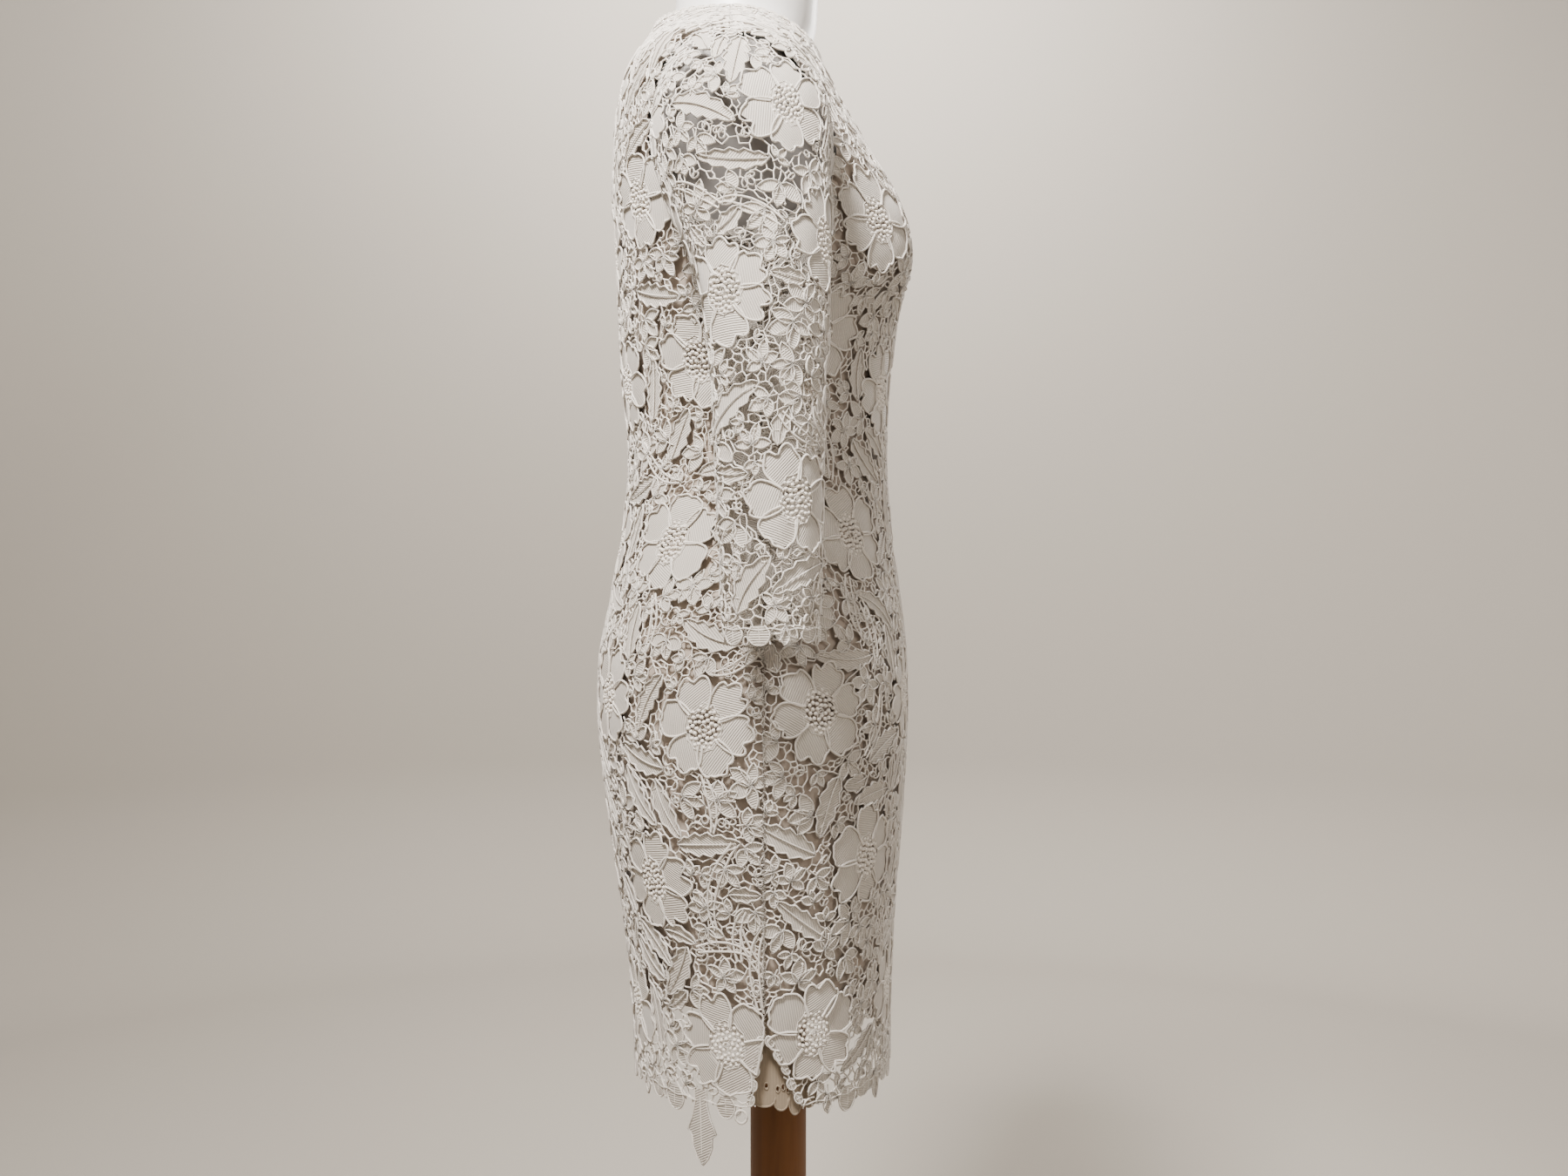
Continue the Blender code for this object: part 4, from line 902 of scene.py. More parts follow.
def flower_places(name):
    """Where the large flowers lie on a cut, and how they are turned: (u, v), turn."""
    cut, found = CUTS[name], []
    for across, up in FLOWERS[name]:
        v, sides = up, (1,)
        if name != "sleeve":
            share = across / np.interp(up, cut.up, cut.arc[-1]) * (len(SHARES) - 1)
            row = np.interp(up, cut.up, np.arange(len(cut.up)))
            v = read_grid(cut.rise, np.array([share]), np.array([row]))[0]
            sides = (1, -1) if name == "front" and across else (1,)
        for side in sides:
            turn = FLOWER_SWING * (abs(across) + up)
            found.append((np.array((side * across, v)), turn if side > 0 else math.pi - turn))
    return found


def held_in(drawing, cut):
    """A drawing with what lies outside the cut drawn back to its edge, as cut lace is."""

    def held(flat):
        points = flat.reshape(-1, 2)
        distance = cut.edge.at(points)
        inner = cut.edge.trimmed(points, distance)
        return np.where((distance < 0)[:, None], inner, points).reshape(flat.shape)

    kept = Drawing()
    kept.strokes = [(held(flat), radius, high, closed) for flat, radius, high, closed in drawing.strokes]
    kept.patches = [(held(grid), high, ribs) for grid, high, ribs in drawing.patches]
    kept.knots = [knot for knot in drawing.knots if cut.edge.at(np.array([knot[:2]]))[0] > 0.001]
    return kept


print("flowers:", {name: len(flower_places(name)) for name in FLOWERS})

# %% [markdown]
# ## Open edges
# At hem, neck, cuffs and vents the maker cuts round the motifs, so the edge is a row of blunt lobes,
# small lilies and loops. One long leaf hangs below the hem of each back panel, and an open ring stands
# beside its vent. The hem follows short tables. The rows along the neck and the vents are evenly spaced,
# with lobes of uneven length, and the cuff's tips also vary in width and lean.

# %% Lobes, and the rows along the edges
# Hem tips: distance from the panel's centre, drop of the tip, half width
HEM_TIPS = {
    "front": (
        (0.012, 0.0125, 0.0110), (0.036, 0.0080, 0.0095), (0.058, 0.0140, 0.0100),
        (0.081, 0.0090, 0.0105), (0.104, 0.0150, 0.0105), (0.127, 0.0070, 0.0100),
        (0.149, 0.0120, 0.0105), (0.170, 0.0085, 0.0095),
    ),
    "back": (
        (0.013, 0.0110, 0.0110), (0.036, 0.0075, 0.0100), (0.059, 0.0135, 0.0110),
        (0.082, 0.0080, 0.0100), (0.104, 0.0120, 0.0100), (0.126, 0.0080, 0.0100),
        (0.149, 0.0110, 0.0110), (0.176, 0.0470, 0.0128), (0.197, 0.0090, 0.0080),
    ),
}
LONG_LEAF_FROM = 0.02
HEM_BASE_V = {"leaf": 0.010, "lily": 0.006, "lobe": 0.007}
HEM_LOOP, HEM_LOOP_V = 0.0036, 0.0015
# The long leaf below the hem: share of its length, share of its half width
HEM_LEAF = (
    (0.0, 0.42), (0.2, 0.42), (0.4, 0.66), (0.57, 1.0),
    (0.62, 0.72), (0.76, 0.68), (0.9, 0.42), (1.0, 0.05),
)
RING_BEFORE_VENT, RING_V = 0.0080, -0.0065
RING_R, RING_CORD = 0.0042, 0.0010
CUFF_TIP_PITCH = 0.019
CUFF_TIP_LONG = 0.0140
CUFF_CORD_V = 0.0105
CUFF_LOOP, CUFF_LOOP_V = 0.0034, 0.0065
VENT_ROW = {"pitch": 0.0120, "half": 0.0048, "long": 0.0060, "inset": 0.0045}
NECK_ROW = {"pitch": 0.0105, "half": 0.0046, "long": 0.0068, "inset": 0.0060}
EDGE_CORD, EDGE_CORD_STEP = 0.00085, 0.003
EDGE_WAVE, EDGE_WAVE_LONG = 0.0008, 0.0031


def base_width(share):
    """How wide a lobe is for its length so far: half as wide at the base, and full from 0.4 on."""
    return 0.5 + 0.5 * np.clip(share / 0.4, 0, 1)


def lobe(long, half):
    """A blunt petal from its broad base at the centre, along x."""
    drawn = Drawing()
    share = np.linspace(0, 1, 6)
    width = half * np.sqrt(np.clip(1 - share**2.6, 0, 1)) * base_width(share)
    across = np.linspace(-1, 1, 5)[None, :]
    grid = bent(share[:, None] * long, width[:, None] * across, 0.0)
    drawn.patch(grid, 0.0005 * (1 - across**2), rng.uniform(-0.4, 0.4))
    turns = np.linspace(-math.pi / 2, math.pi / 2, 15)
    ahead = np.cos(turns) ** 0.8
    rim = np.sign(np.sin(turns)) * np.abs(np.sin(turns)) ** 0.9 * half * base_width(ahead)
    drawn.stroke(np.stack([long * ahead, rim], axis=1), LEAF_CORD, 0.0002)
    drawn.stroke([(0.1 * long, 0), (0.45 * long, 0), (0.75 * long, 0)], (0.0006, 0.0005, 0.0003), 0.0005)
    return drawn


def hem_leaf(long, half):
    """The long toothed leaf that hangs below the hem, from its narrow stalk along x."""
    drawn = Drawing()
    share, width = np.array(HEM_LEAF).T
    across = np.linspace(-1, 1, 5)[None, :]
    grid = bent(share[:, None] * long, half * width[:, None] * across, 0.0)
    drawn.patch(grid, 0.0009 * (1 - across**2), 0.5)
    sides = [np.stack([share * long, side * half * width], axis=1) for side in (1, -1)]
    drawn.stroke(np.concatenate([sides[0], sides[1][-2::-1]]), LEAF_CORD, 0.0004)
    drawn.stroke([(0.1 * long, 0), (0.5 * long, 0), (0.85 * long, 0)], (0.0009, 0.0007, 0.0004), 0.0009)
    return drawn


def hang(board, drawing, spot, turn):
    """Sets an edge motif at a spot of the cut, whatever lies there."""
    placed = Drawing().add(drawing, np.asarray(spot), turn)
    board.put(placed, placed.spots())


def hem_row(board, hand):
    """The hem's tips on one side of a panel: lobes, lilies, loops and the long leaf."""
    down = -math.pi / 2
    for n, (along, drop, half) in enumerate(HEM_TIPS[board.cut.name]):
        kind = "leaf" if drop > LONG_LEAF_FROM else "lily" if n % 3 == 1 else "lobe"
        base = HEM_BASE_V[kind]
        if kind == "lily":
            tip = lily(drop + base, 3)
        else:
            tip = (hem_leaf if kind == "leaf" else lobe)(drop + base, half)
        hang(board, tip, (hand * along, base), down)
        if n % 3 == 2:
            hang(board, loops(HEM_LOOP, 1), (hand * (along + half + 0.001), HEM_LOOP_V), down)


def arc_along(path):
    """The distance from a path's start to each of its points."""
    return np.concatenate([[0], np.cumsum(np.linalg.norm(np.diff(path, axis=0), axis=1))])


def edge_row(board, path, pitch, half, long, inset, mirrored=False):
    """Lobes along a path of points, each facing outwards: the cloth is on the path's left."""
    arc = arc_along(path)
    count = max(1, round(arc[-1] / pitch))
    for n in range(count):
        at = arc[-1] * (n + 0.5) / count
        spot = columns_at(at, arc, path)
        ahead = columns_at(at + 0.002, arc, path) - spot
        outward = math.atan2(ahead[1], ahead[0]) - math.pi / 2
        spot = spot - inset * np.array([math.cos(outward), math.sin(outward)])
        if mirrored:
            spot, outward = spot * (-1, 1), math.pi - outward
        hang(board, lobe(long * rng.uniform(0.85, 1.1), half), spot, outward)


def edge_cord(board, path, inset, mirrored=False):
    """A wavy cord that runs just inside an open edge."""
    arc = arc_along(path)
    at = np.linspace(0.001, arc[-1] - 0.001, max(4, round(arc[-1] / EDGE_CORD_STEP)))
    spots = columns_at(at, arc, path)
    ahead = np.gradient(spots, axis=0)
    outward = np.stack([ahead[:, 1], -ahead[:, 0]], axis=1) / np.linalg.norm(ahead, axis=1)[:, None]
    spots = spots - outward * (inset + EDGE_WAVE * np.sin(at / EDGE_WAVE_LONG))[:, None]
    drawn = Drawing()
    drawn.stroke(spots * (-1, 1) if mirrored else spots, EDGE_CORD, 0.0002)
    board.put(drawn, drawn.spots())


def hem_ring(board):
    """The open ring at the hem beside the vent of a back panel."""
    drawn = Drawing()
    drawn.stroke(oval(full_turn(20), RING_R, 1.15 * RING_R), RING_CORD, 0.0006, True)
    spot = (board.cut.reach(0.0) - VENT_SPREAD["back"] - RING_BEFORE_VENT, RING_V)
    hang(board, drawn, spot, 0.0)


def cuff_edge(board):
    """Tips of uneven size and a wavy cord round the cuff of a sleeve."""
    start, end = (side * half.reach(CUFF_V) for side, half in zip((-1, 1), board.cut.halves))
    count = int((end - start) / CUFF_TIP_PITCH)
    pitch = (end - start) / count
    for n in range(count):
        spot, half = (start + pitch * (n + 0.5), CUFF_TIP_LONG), pitch * rng.uniform(0.40, 0.48)
        drop = CUFF_TIP_LONG * rng.uniform(0.84, 1.12)
        tip = lily(drop, 3) if n % 3 == 1 else lobe(drop, half)
        hang(board, tip, spot, -math.pi / 2 + rng.uniform(-0.12, 0.12))
        if n % 3 == 2:
            hang(board, loops(CUFF_LOOP, 1), (spot[0] + half, CUFF_LOOP_V), -math.pi / 2)
    edge_cord(board, np.array([(start, CUFF_CORD_V), (end, CUFF_CORD_V)]), 0.001)


def body_edges(board):
    """Hem, vents and neck of a body panel: the front has them on both of its sides."""
    cut = board.cut
    for mirrored in (False, True) if cut.name == "front" else (False,):
        hem_row(board, -1 if mirrored else 1)
        hem = np.array([(0.0, 0.0), (cut.reach(0.0) - VENT_SPREAD[cut.name], 0.0)])
        edge_cord(board, hem, 0.0015, mirrored)
        if cut.name == "back":
            hem_ring(board)
        edge_cord(board, cut.vent, 0.0012, mirrored)
        edge_row(board, cut.vent, **VENT_ROW, mirrored=mirrored)
        edge_row(board, cut.neck, **NECK_ROW, mirrored=mirrored)
        edge_cord(board, cut.neck, 0.0050, mirrored)


print("hem tips:", {part: len(tips) for part, tips in HEM_TIPS.items()})

# %% [markdown]
# ## The net of bars
# Where no motif reaches, thin bars join what is there into uneven meshes about 7 or 8 mm wide. Soap film
# or cracked mud look the same, and all of them are close to a Voronoi pattern: the cloth is shared out
# among scattered points, and the borders are the bars. Blender's constrained Delaunay function gives the
# triangles, and joining their centres gives the bars.

# %% Bars between the motifs
NET_CELL = {"body": 0.0070, "sleeve": 0.0080}
NET_ROW = 0.87
NET_SHAKE = 0.46
NET_AROUND = 1.2
NET_LONGEST = 2.6
NET_PAST_EDGE = 0.003
BAR_CORD = 0.00078
BAR_HIGH = -0.0008


def worn_in(mask, steps):
    """A mask with its edge taken back by some squares."""
    for _ in range(steps):
        inner = mask.copy()
        for axis in (0, 1):
            for way in (-1, 1):
                inner &= np.roll(mask, way, axis)
        mask = inner
    return mask


def under_motifs(board, points, worn):
    """Which points lie under a motif, and further in than a number of squares."""
    squares = board.squares(points)
    return worn_in(board.taken, worn)[squares[:, 0], squares[:, 1]]


def net_bars(board):
    """The bars of a panel as pairs of flat points."""
    cell = NET_CELL["sleeve" if board.cut.name == "sleeve" else "body"]
    low, high = board.cut.edge.low, board.cut.outline.max(axis=0) + MAP_MARGIN
    points = []
    for n, v in enumerate(np.arange(low[1], high[1], cell * NET_ROW)):
        us = np.arange(low[0], high[0], cell) + cell * 0.5 * (n % 2)
        points.append(np.stack([us, np.full(len(us), v)], axis=1))
    points = np.concatenate(points)
    points += rng.uniform(-NET_SHAKE, NET_SHAKE, points.shape) * cell
    points = points[~under_motifs(board, points, 3) & (board.cut.edge.at(points) > -NET_AROUND * cell)]
    _, _, faces, *_ = delaunay_2d_cdt([Vector(p) for p in points], [], [], 0, 1e-9)
    faces = np.array([face for face in faces if len(face) == 3])
    a, b, c = (points[faces[:, k]] for k in range(3))
    longest = np.max([np.linalg.norm(p - q, axis=1) for p, q in ((a, b), (b, c), (c, a))], axis=0)
    keep = longest < NET_LONGEST * cell
    faces, centres = faces[keep], ((a + b + c) / 3)[keep]
    edges = np.sort(np.concatenate([faces[:, [0, 1]], faces[:, [1, 2]], faces[:, [2, 0]]]), axis=1)
    owner = np.tile(np.arange(len(faces)), 3)
    order = np.lexsort((edges[:, 1], edges[:, 0]))
    edges, owner = edges[order], owner[order]
    pairs = np.where((edges[:-1] == edges[1:]).all(axis=1))[0]
    ends = np.stack([centres[owner[pairs]], centres[owner[pairs + 1]]], axis=1)
    hidden = under_motifs(board, ends.reshape(-1, 2), 2).reshape(-1, 2).all(axis=1)
    distance = board.cut.edge.at(ends.reshape(-1, 2)).reshape(-1, 2)
    inside = (distance > -NET_PAST_EDGE).all(axis=1) & (distance > 0).any(axis=1)
    return ends[~hidden & inside]


print("net cells", NET_CELL, "bar", 2 * BAR_CORD)

# %% [markdown]
# ## From drawing to mesh
# All strokes of a panel become tubes in one go: each point gets a small ring of corners, and the rings
# are joined into faces with arrays of numbers, not one by one. Points outside the outline are drawn back
# to it. Near a seam the lace dips a little, as a stitched seam does, and creases at the bust, waist and
# hips are long shallow rises and hollows. Each corner also gets a place in a UV map for the material to
# wind thread on: in metres on the patches, and stretched four times along a cord, for closer turns.

# %% Tubes, patches and knots as arrays
SEAM_DIP = 0.0010
SEAM_DIP_WIDTH = 0.0030
TRIM_REACH = 0.0045
OPEN_CLEAR, HELD_CLEAR = 0.002, 0.0015
CREASE_FADE = 1.4
WOUND_SHARE = 4.0

# Creases: distance before the side seam and z of the start, the same of the end, rise, width
CREASES = {
    "front": (
        (0.000, 1.128, 0.082, 1.166, -0.0012, 0.0030),
        (0.004, 1.010, 0.085, 0.992, 0.0012, 0.0080),
        (0.000, 0.985, 0.070, 0.955, -0.0010, 0.0090),
        (0.010, 1.065, 0.075, 1.100, 0.0010, 0.0090),
        (0.000, 0.760, 0.110, 0.742, 0.0009, 0.0120),
    ),
    "back": (
        (0.004, 1.030, 0.100, 1.012, 0.0014, 0.0090),
        (0.000, 0.998, 0.120, 0.985, -0.0010, 0.0100),
        (0.006, 1.080, 0.080, 1.062, 0.0010, 0.0090),
        (0.012, 1.270, 0.075, 1.235, 0.0010, 0.0100),
        (0.000, 0.770, 0.120, 0.756, 0.0009, 0.0120),
    ),
}


def crease_lines(cut, rows):
    """Creases that start at the side seam, with their ends as flat points."""
    found = []
    for before, z, end_before, end_z, rise, width in rows:
        ends = cut.flat(90.0, np.array([z, end_z])) - np.array([(before, 0.0), (end_before, 0.0)])
        found.append((ends[0], ends[1], rise, width))
    return found


# The sleeve's own creases: u and v of both ends, rise, width
SLEEVE_CREASES = (
    (-0.012, 0.030, -0.004, 0.270, -0.0026, 0.0110),
    (0.052, 0.020, 0.060, 0.300, 0.0018, 0.0120),
    (-0.072, 0.040, -0.064, 0.260, 0.0018, 0.0120),
    (0.120, 0.205, 0.010, 0.170, -0.0016, 0.0070),
    (0.115, 0.165, 0.020, 0.140, 0.0016, 0.0080),
    (-0.130, 0.215, -0.020, 0.185, -0.0016, 0.0080),
    (0.105, 0.330, 0.025, 0.360, -0.0014, 0.0090),
    (-0.115, 0.335, -0.030, 0.365, -0.0014, 0.0090),
)
CREASE_LINES = {name: crease_lines(CUTS[name], rows) for name, rows in CREASES.items()}
CREASE_LINES["sleeve"] = [
    (np.array((u, v)), np.array((end_u, end_v)), rise, width)
    for u, v, end_u, end_v, rise, width in SLEEVE_CREASES
]


def grid_faces(index):
    """The four-cornered faces of a grid of corner numbers, or of a stack of grids."""
    a, b = index[..., :-1, :-1], index[..., 1:, :-1]
    c, d = index[..., 1:, 1:], index[..., :-1, 1:]
    return np.stack([a, b, c, d], axis=-1).reshape(-1, 4)


def band_faces(low, high, sides):
    """The faces between pairs of rings, given the number of the first corner of each ring."""
    corner, nearby = np.arange(sides), (np.arange(sides) + 1) % sides
    low, high = low[:, None], high[:, None]
    faces = [low + corner, low + nearby, high + nearby, high + corner]
    return np.stack(faces, axis=-1).reshape(-1, 4)


def cord_uvs(along, sides):
    """The UVs of rings along a cord, from the distance along it."""
    pairs = np.broadcast_arrays(along[:, None] * WOUND_SHARE, np.arange(sides) * 0.001)
    return np.stack(pairs, axis=-1).reshape(-1, 2)


class Shape:
    """Corners, faces and UVs gathered for one mesh."""

    def __init__(self, cut, hand):
        self.cut, self.hand = cut, hand
        self.corners, self.faces, self.uvs, self.count, self.satin = [], [], [], 0, []
        self.flip = (cut.facing < 0) != (hand == -1)

    def dipped(self, flat, high):
        """Heights with the dip at the seams, and the creases."""
        near, open_edge = self.cut.edge.at(flat), np.abs(self.cut.open_edge.at(flat))
        at_seam = open_edge > np.abs(near) + OPEN_CLEAR
        dip = SEAM_DIP * np.exp(-np.abs(near) / SEAM_DIP_WIDTH) * at_seam
        place = np.abs(flat) if self.cut.name == "front" else flat
        for start, end, rise, width in CREASE_LINES.get(self.cut.name, ()):
            span = end - start
            share = (place - start) @ span / (span @ span)
            away = np.linalg.norm(place - start - np.clip(share, 0, 1)[:, None] * span, axis=1)
            dip = dip - rise * np.exp(-((away / width) ** 2)) * np.clip(CREASE_FADE * (1 - share), 0, 1)
        return high - dip

    def add(self, flat, high, faces, uvs, satin=False):
        """Sews flat corners and their faces into place, leaving out corners that no face uses."""
        self.satin += [satin] * sum(len(group) for group in faces)
        used = np.zeros(len(flat), bool)
        for group in faces:
            used[group] = True
        number = np.cumsum(used) - 1 + self.count
        self.faces += [number[group] for group in faces]
        flat, high = flat[used], high[used]
        self.corners.append(self.cut.place(flat, self.dipped(flat, high), self.hand))
        self.uvs.append(uvs[used])
        self.count += len(flat)

    def strokes(self, strokes, sides):
        """Tubes along strokes, with a number of sides."""
        flat = np.concatenate([s[0] for s in strokes])
        radius, high = (np.concatenate([s[k] for s in strokes]) for k in (1, 2))
        counts = np.array([len(s[0]) for s in strokes])
        closed = np.repeat([s[3] for s in strokes], counts)
        first = np.repeat(np.cumsum(counts) - counts, counts)
        last = first + np.repeat(counts, counts) - 1
        index = np.arange(len(flat))
        after = np.where(index < last, index + 1, np.where(closed, first, index))
        before = np.where(index > first, index - 1, np.where(closed, last, index))
        tangent = flat[after] - flat[before]
        tangent /= np.maximum(np.linalg.norm(tangent, axis=1), 1e-9)[:, None]
        aside = np.stack([-tangent[:, 1], tangent[:, 0]], axis=1)
        along = np.cumsum(np.linalg.norm(flat[after] - flat, axis=1) * (after > index))
        distance = self.cut.edge.at(flat)
        held = self.trim_limit(flat)
        outside = (distance < 0) & held
        flat = np.where(outside[:, None], self.cut.edge.trimmed(flat, distance), flat)
        links = index[(after != index) & ~(outside & outside[after])]
        far = np.minimum(np.where(held, distance, 0), np.where(held[after], distance[after], 0))
        links = links[far[links] > -TRIM_REACH]
        turns = math.pi / 2 + 2 * math.pi * np.arange(sides) / sides
        ring = aside[:, None] * (radius[:, None] * np.cos(turns))[..., None] + flat[:, None]
        lift = high[:, None] + radius[:, None] * np.sin(turns)
        faces = band_faces(links * sides, after[links] * sides, sides)
        self.add(ring.reshape(-1, 2), lift.ravel(), [faces], cord_uvs(along, sides))

    def trim_limit(self, flat):
        """Which points are held by a seam: those at open edges may hang past the outline."""
        return np.abs(self.cut.open_edge.at(flat)) > np.abs(self.cut.edge.at(flat)) + HELD_CLEAR

    def patches(self, patches):
        """Filled grids."""
        kinds = {}
        for grid, high, ribs in patches:
            kinds.setdefault(grid.shape[:2], []).append((grid, high, ribs))
        for (rows, columns), group in kinds.items():
            flat = np.stack([grid for grid, *_ in group]).reshape(-1, 2)
            high = np.stack([lift for _, lift, _ in group]).ravel()
            ribs = np.repeat([ribs for *_, ribs in group], rows * columns)
            cosine, sine = np.cos(ribs), np.sin(ribs)
            across = flat[:, 0] * cosine + flat[:, 1] * sine
            uvs = np.stack([across, flat[:, 1] * cosine - flat[:, 0] * sine], axis=-1)
            distance = self.cut.edge.at(flat)
            outside = (distance < 0) & self.trim_limit(flat)
            flat = np.where(outside[:, None], self.cut.edge.trimmed(flat, distance), flat)
            index = np.arange(len(flat)).reshape(len(group), rows, columns)
            faces = grid_faces(index)
            faces = faces[~outside[faces].all(axis=1)]
            if len(faces):
                self.add(flat, high, [faces], uvs, satin=True)

    def knots(self, knots, sides=6):
        """Domed knots."""
        knots = np.array(knots)
        knots = knots[self.cut.edge.at(knots[:, :2]) > 0.0004]
        turns = 2 * math.pi * np.arange(sides) / sides
        circle = oval(turns, 1, 1)
        template = np.concatenate([circle, 0.74 * circle, [[0.0, 0.0]]])
        rise = np.concatenate([np.full(sides, -1.5), np.full(sides, -0.38), [0.0]])
        flat = knots[:, None, :2] + knots[:, None, 2, None] * template
        high = knots[:, 3, None] + knots[:, 2, None] * rise
        start = np.arange(len(knots)) * len(template)
        quads = band_faces(start, start + sides, sides)
        corner, upper = np.arange(sides), start[:, None] + sides
        tops = np.stack([upper + corner, upper + (corner + 1) % sides, upper + 0 * corner + sides], -1)
        uvs = np.tile(template * 0.0004, (len(knots), 1))
        self.add(flat.reshape(-1, 2), high.ravel(), [quads, tops.reshape(-1, 3)], uvs)

    def mesh(self, name, finish, shaded_satin_finish=None):
        """The gathered arrays as an object."""
        corners, uvs = np.concatenate(self.corners), np.concatenate(self.uvs)
        faces = [f[:, ::-1] if self.flip else f for f in self.faces]
        loops = np.concatenate([f.ravel() for f in faces]).astype(np.int32)
        sizes = np.concatenate([np.full(len(f), f.shape[1]) for f in faces])
        mesh = bpy.data.meshes.new(name)
        mesh.vertices.add(len(corners))
        mesh.vertices.foreach_set("co", corners.astype(np.float32).ravel())
        mesh.loops.add(len(loops))
        mesh.loops.foreach_set("vertex_index", loops)
        mesh.polygons.add(len(sizes))
        mesh.polygons.foreach_set("loop_start", (np.cumsum(sizes) - sizes).astype(np.int32))
        mesh.update(calc_edges=True)
        layer = mesh.uv_layers.new(name="thread")
        layer.data.foreach_set("uv", uvs[loops].astype(np.float32).ravel())
        mesh.shade_smooth()
        mesh.materials.append(finish)
        if shaded_satin_finish:
            mesh.materials.append(shaded_satin_finish)
            mesh.polygons.foreach_set("material_index", np.array(self.satin, np.int32))
        print(name, "triangles", int((sizes - 2).sum()))
        return linked(name, mesh)

# %% [markdown]
# ## Thread, as a shader
# Cotton guipure is matt and warm white. Close to, every surface is wound thread: satin ribs across the
# petals and tight turns round each cord. A node group makes that relief from the UV map, and a second
# group gives cloth its slow drift of tone. Each material places the groups with its own values, so the
# lace, the underlap and the lining share them.

# %% Node groups for relief and tone


def new_group(name, inputs, outputs):
    """A shader node group with named sockets: (group, its input node, its output node)."""
    group = bpy.data.node_groups.new(name, "ShaderNodeTree")
    for socket, kind, value in inputs:
        made = group.interface.new_socket(socket, in_out="INPUT", socket_type=kind)
        made.default_value = value
    for socket, kind in outputs:
        group.interface.new_socket(socket, in_out="OUTPUT", socket_type=kind)
    return group, group.nodes.new("NodeGroupInput"), group.nodes.new("NodeGroupOutput")


def feed(node, values):
    """Feeds a node's inputs, by name or number, and gives its outputs: a socket is linked, a value set."""
    for place, value in values.items():
        if isinstance(value, bpy.types.NodeSocket):
            node.id_data.links.new(value, node.inputs[place])
        else:
            node.inputs[place].default_value = value
    return node.outputs


def maths(tree, operation, *values):
    """A Math node on sockets or numbers, and its output."""
    node = tree.nodes.new("ShaderNodeMath")
    node.operation = operation
    return feed(node, dict(enumerate(values)))[0]


def colour_mix(tree, share, first, second, blend="MIX"):
    """A Mix node on two colours, and its output."""
    node = tree.nodes.new("ShaderNodeMix")
    node.data_type = "RGBA"
    node.blend_type = blend
    return feed(node, {"Factor": share, "A": first, "B": second})["Result"]


def own_place(tree):
    """A point's place in metres on its own object, the same from all sides."""
    return tree.nodes.new("ShaderNodeTexCoord").outputs["Object"]


def noise(tree, scale, detail=2.0):
    """Noise at a scale for each metre."""
    node = tree.nodes.new("ShaderNodeTexNoise")
    return feed(node, {"Vector": own_place(tree), "Scale": scale, "Detail": detail})["Fac"]


RIB_HEIGHT = 0.7
GRAIN_HEIGHT = 0.5
DRIFT_DETAIL = 3.0


def wound_thread():
    """Ribs of satin stitch at a pitch in metres, over the fine grain of the thread."""
    group, given, result = new_group(
        "wound_thread",
        (("Rib Pitch", "NodeSocketFloat", 0.0024), ("Grain Scale", "NodeSocketFloat", 1500.0)),
        (("Height", "NodeSocketFloat"), ("Ribs", "NodeSocketFloat")),
    )
    uv = group.nodes.new("ShaderNodeUVMap")
    uv.uv_map = "thread"
    parts = feed(group.nodes.new("ShaderNodeSeparateXYZ"), {"Vector": uv.outputs["UV"]})
    turns = maths(group, "DIVIDE", parts["X"], given.outputs["Rib Pitch"])
    wave = maths(group, "SINE", maths(group, "MULTIPLY", turns, 2 * math.pi))
    ribs = maths(group, "MULTIPLY_ADD", wave, 0.5, 0.5)
    grain = noise(group, given.outputs["Grain Scale"])
    raised = maths(group, "MULTIPLY", ribs, RIB_HEIGHT)
    height = maths(group, "ADD", raised, maths(group, "MULTIPLY", grain, GRAIN_HEIGHT))
    feed(result, {"Height": height, "Ribs": ribs})
    return group


def cloth_tone():
    """A colour that drifts between two tones over the cloth."""
    group, given, result = new_group(
        "cloth_tone",
        (
            ("Light Tone", "NodeSocketColor", (0.8, 0.8, 0.8, 1.0)),
            ("Dark Tone", "NodeSocketColor", (0.7, 0.7, 0.7, 1.0)),
            ("Drift Scale", "NodeSocketFloat", 9.0),
            ("Shade", "NodeSocketFloat", 1.0),
        ),
        (("Colour", "NodeSocketColor"),),
    )
    drift = noise(group, given.outputs["Drift Scale"], DRIFT_DETAIL)
    tone = colour_mix(group, drift, given.outputs["Dark Tone"], given.outputs["Light Tone"])
    feed(result, {"Colour": colour_mix(group, 1.0, tone, given.outputs["Shade"], "MULTIPLY")})
    return group


THREAD_GROUP, TONE_GROUP = wound_thread(), cloth_tone()
print("groups:", [group.name for group in bpy.data.node_groups])

# %% [markdown]
# ## The cloth materials
# The lace reflects almost all light and scatters it softly, so it has a high roughness, little specular
# and a faint sheen. Ribs catch the light a touch more than the hollows between, and the tone group's
# Shade input takes them. The lining is a plain closed weave in the same family of colour and smoother.
# Its tone is darker than the lace's, partly its own and partly painted shade of the gaps behind the lace.

# %% Lace and lining materials
CLOTH_SPECULAR = 0.25
SHEEN_ROUGHNESS = 0.45
BEVEL_SAMPLES = 8
THREAD_STRENGTH = 0.8


def new_material(name):
    """A material with a Principled shader: (material, tree, shader)."""
    made = bpy.data.materials.new(name)
    made.use_nodes = True
    return made, made.node_tree, made.node_tree.nodes["Principled BSDF"]


def add_group(tree, group, values):
    """A node group placed in a material with its own values, and its outputs."""
    node = tree.nodes.new("ShaderNodeGroup")
    node.node_tree = group
    return feed(node, values)


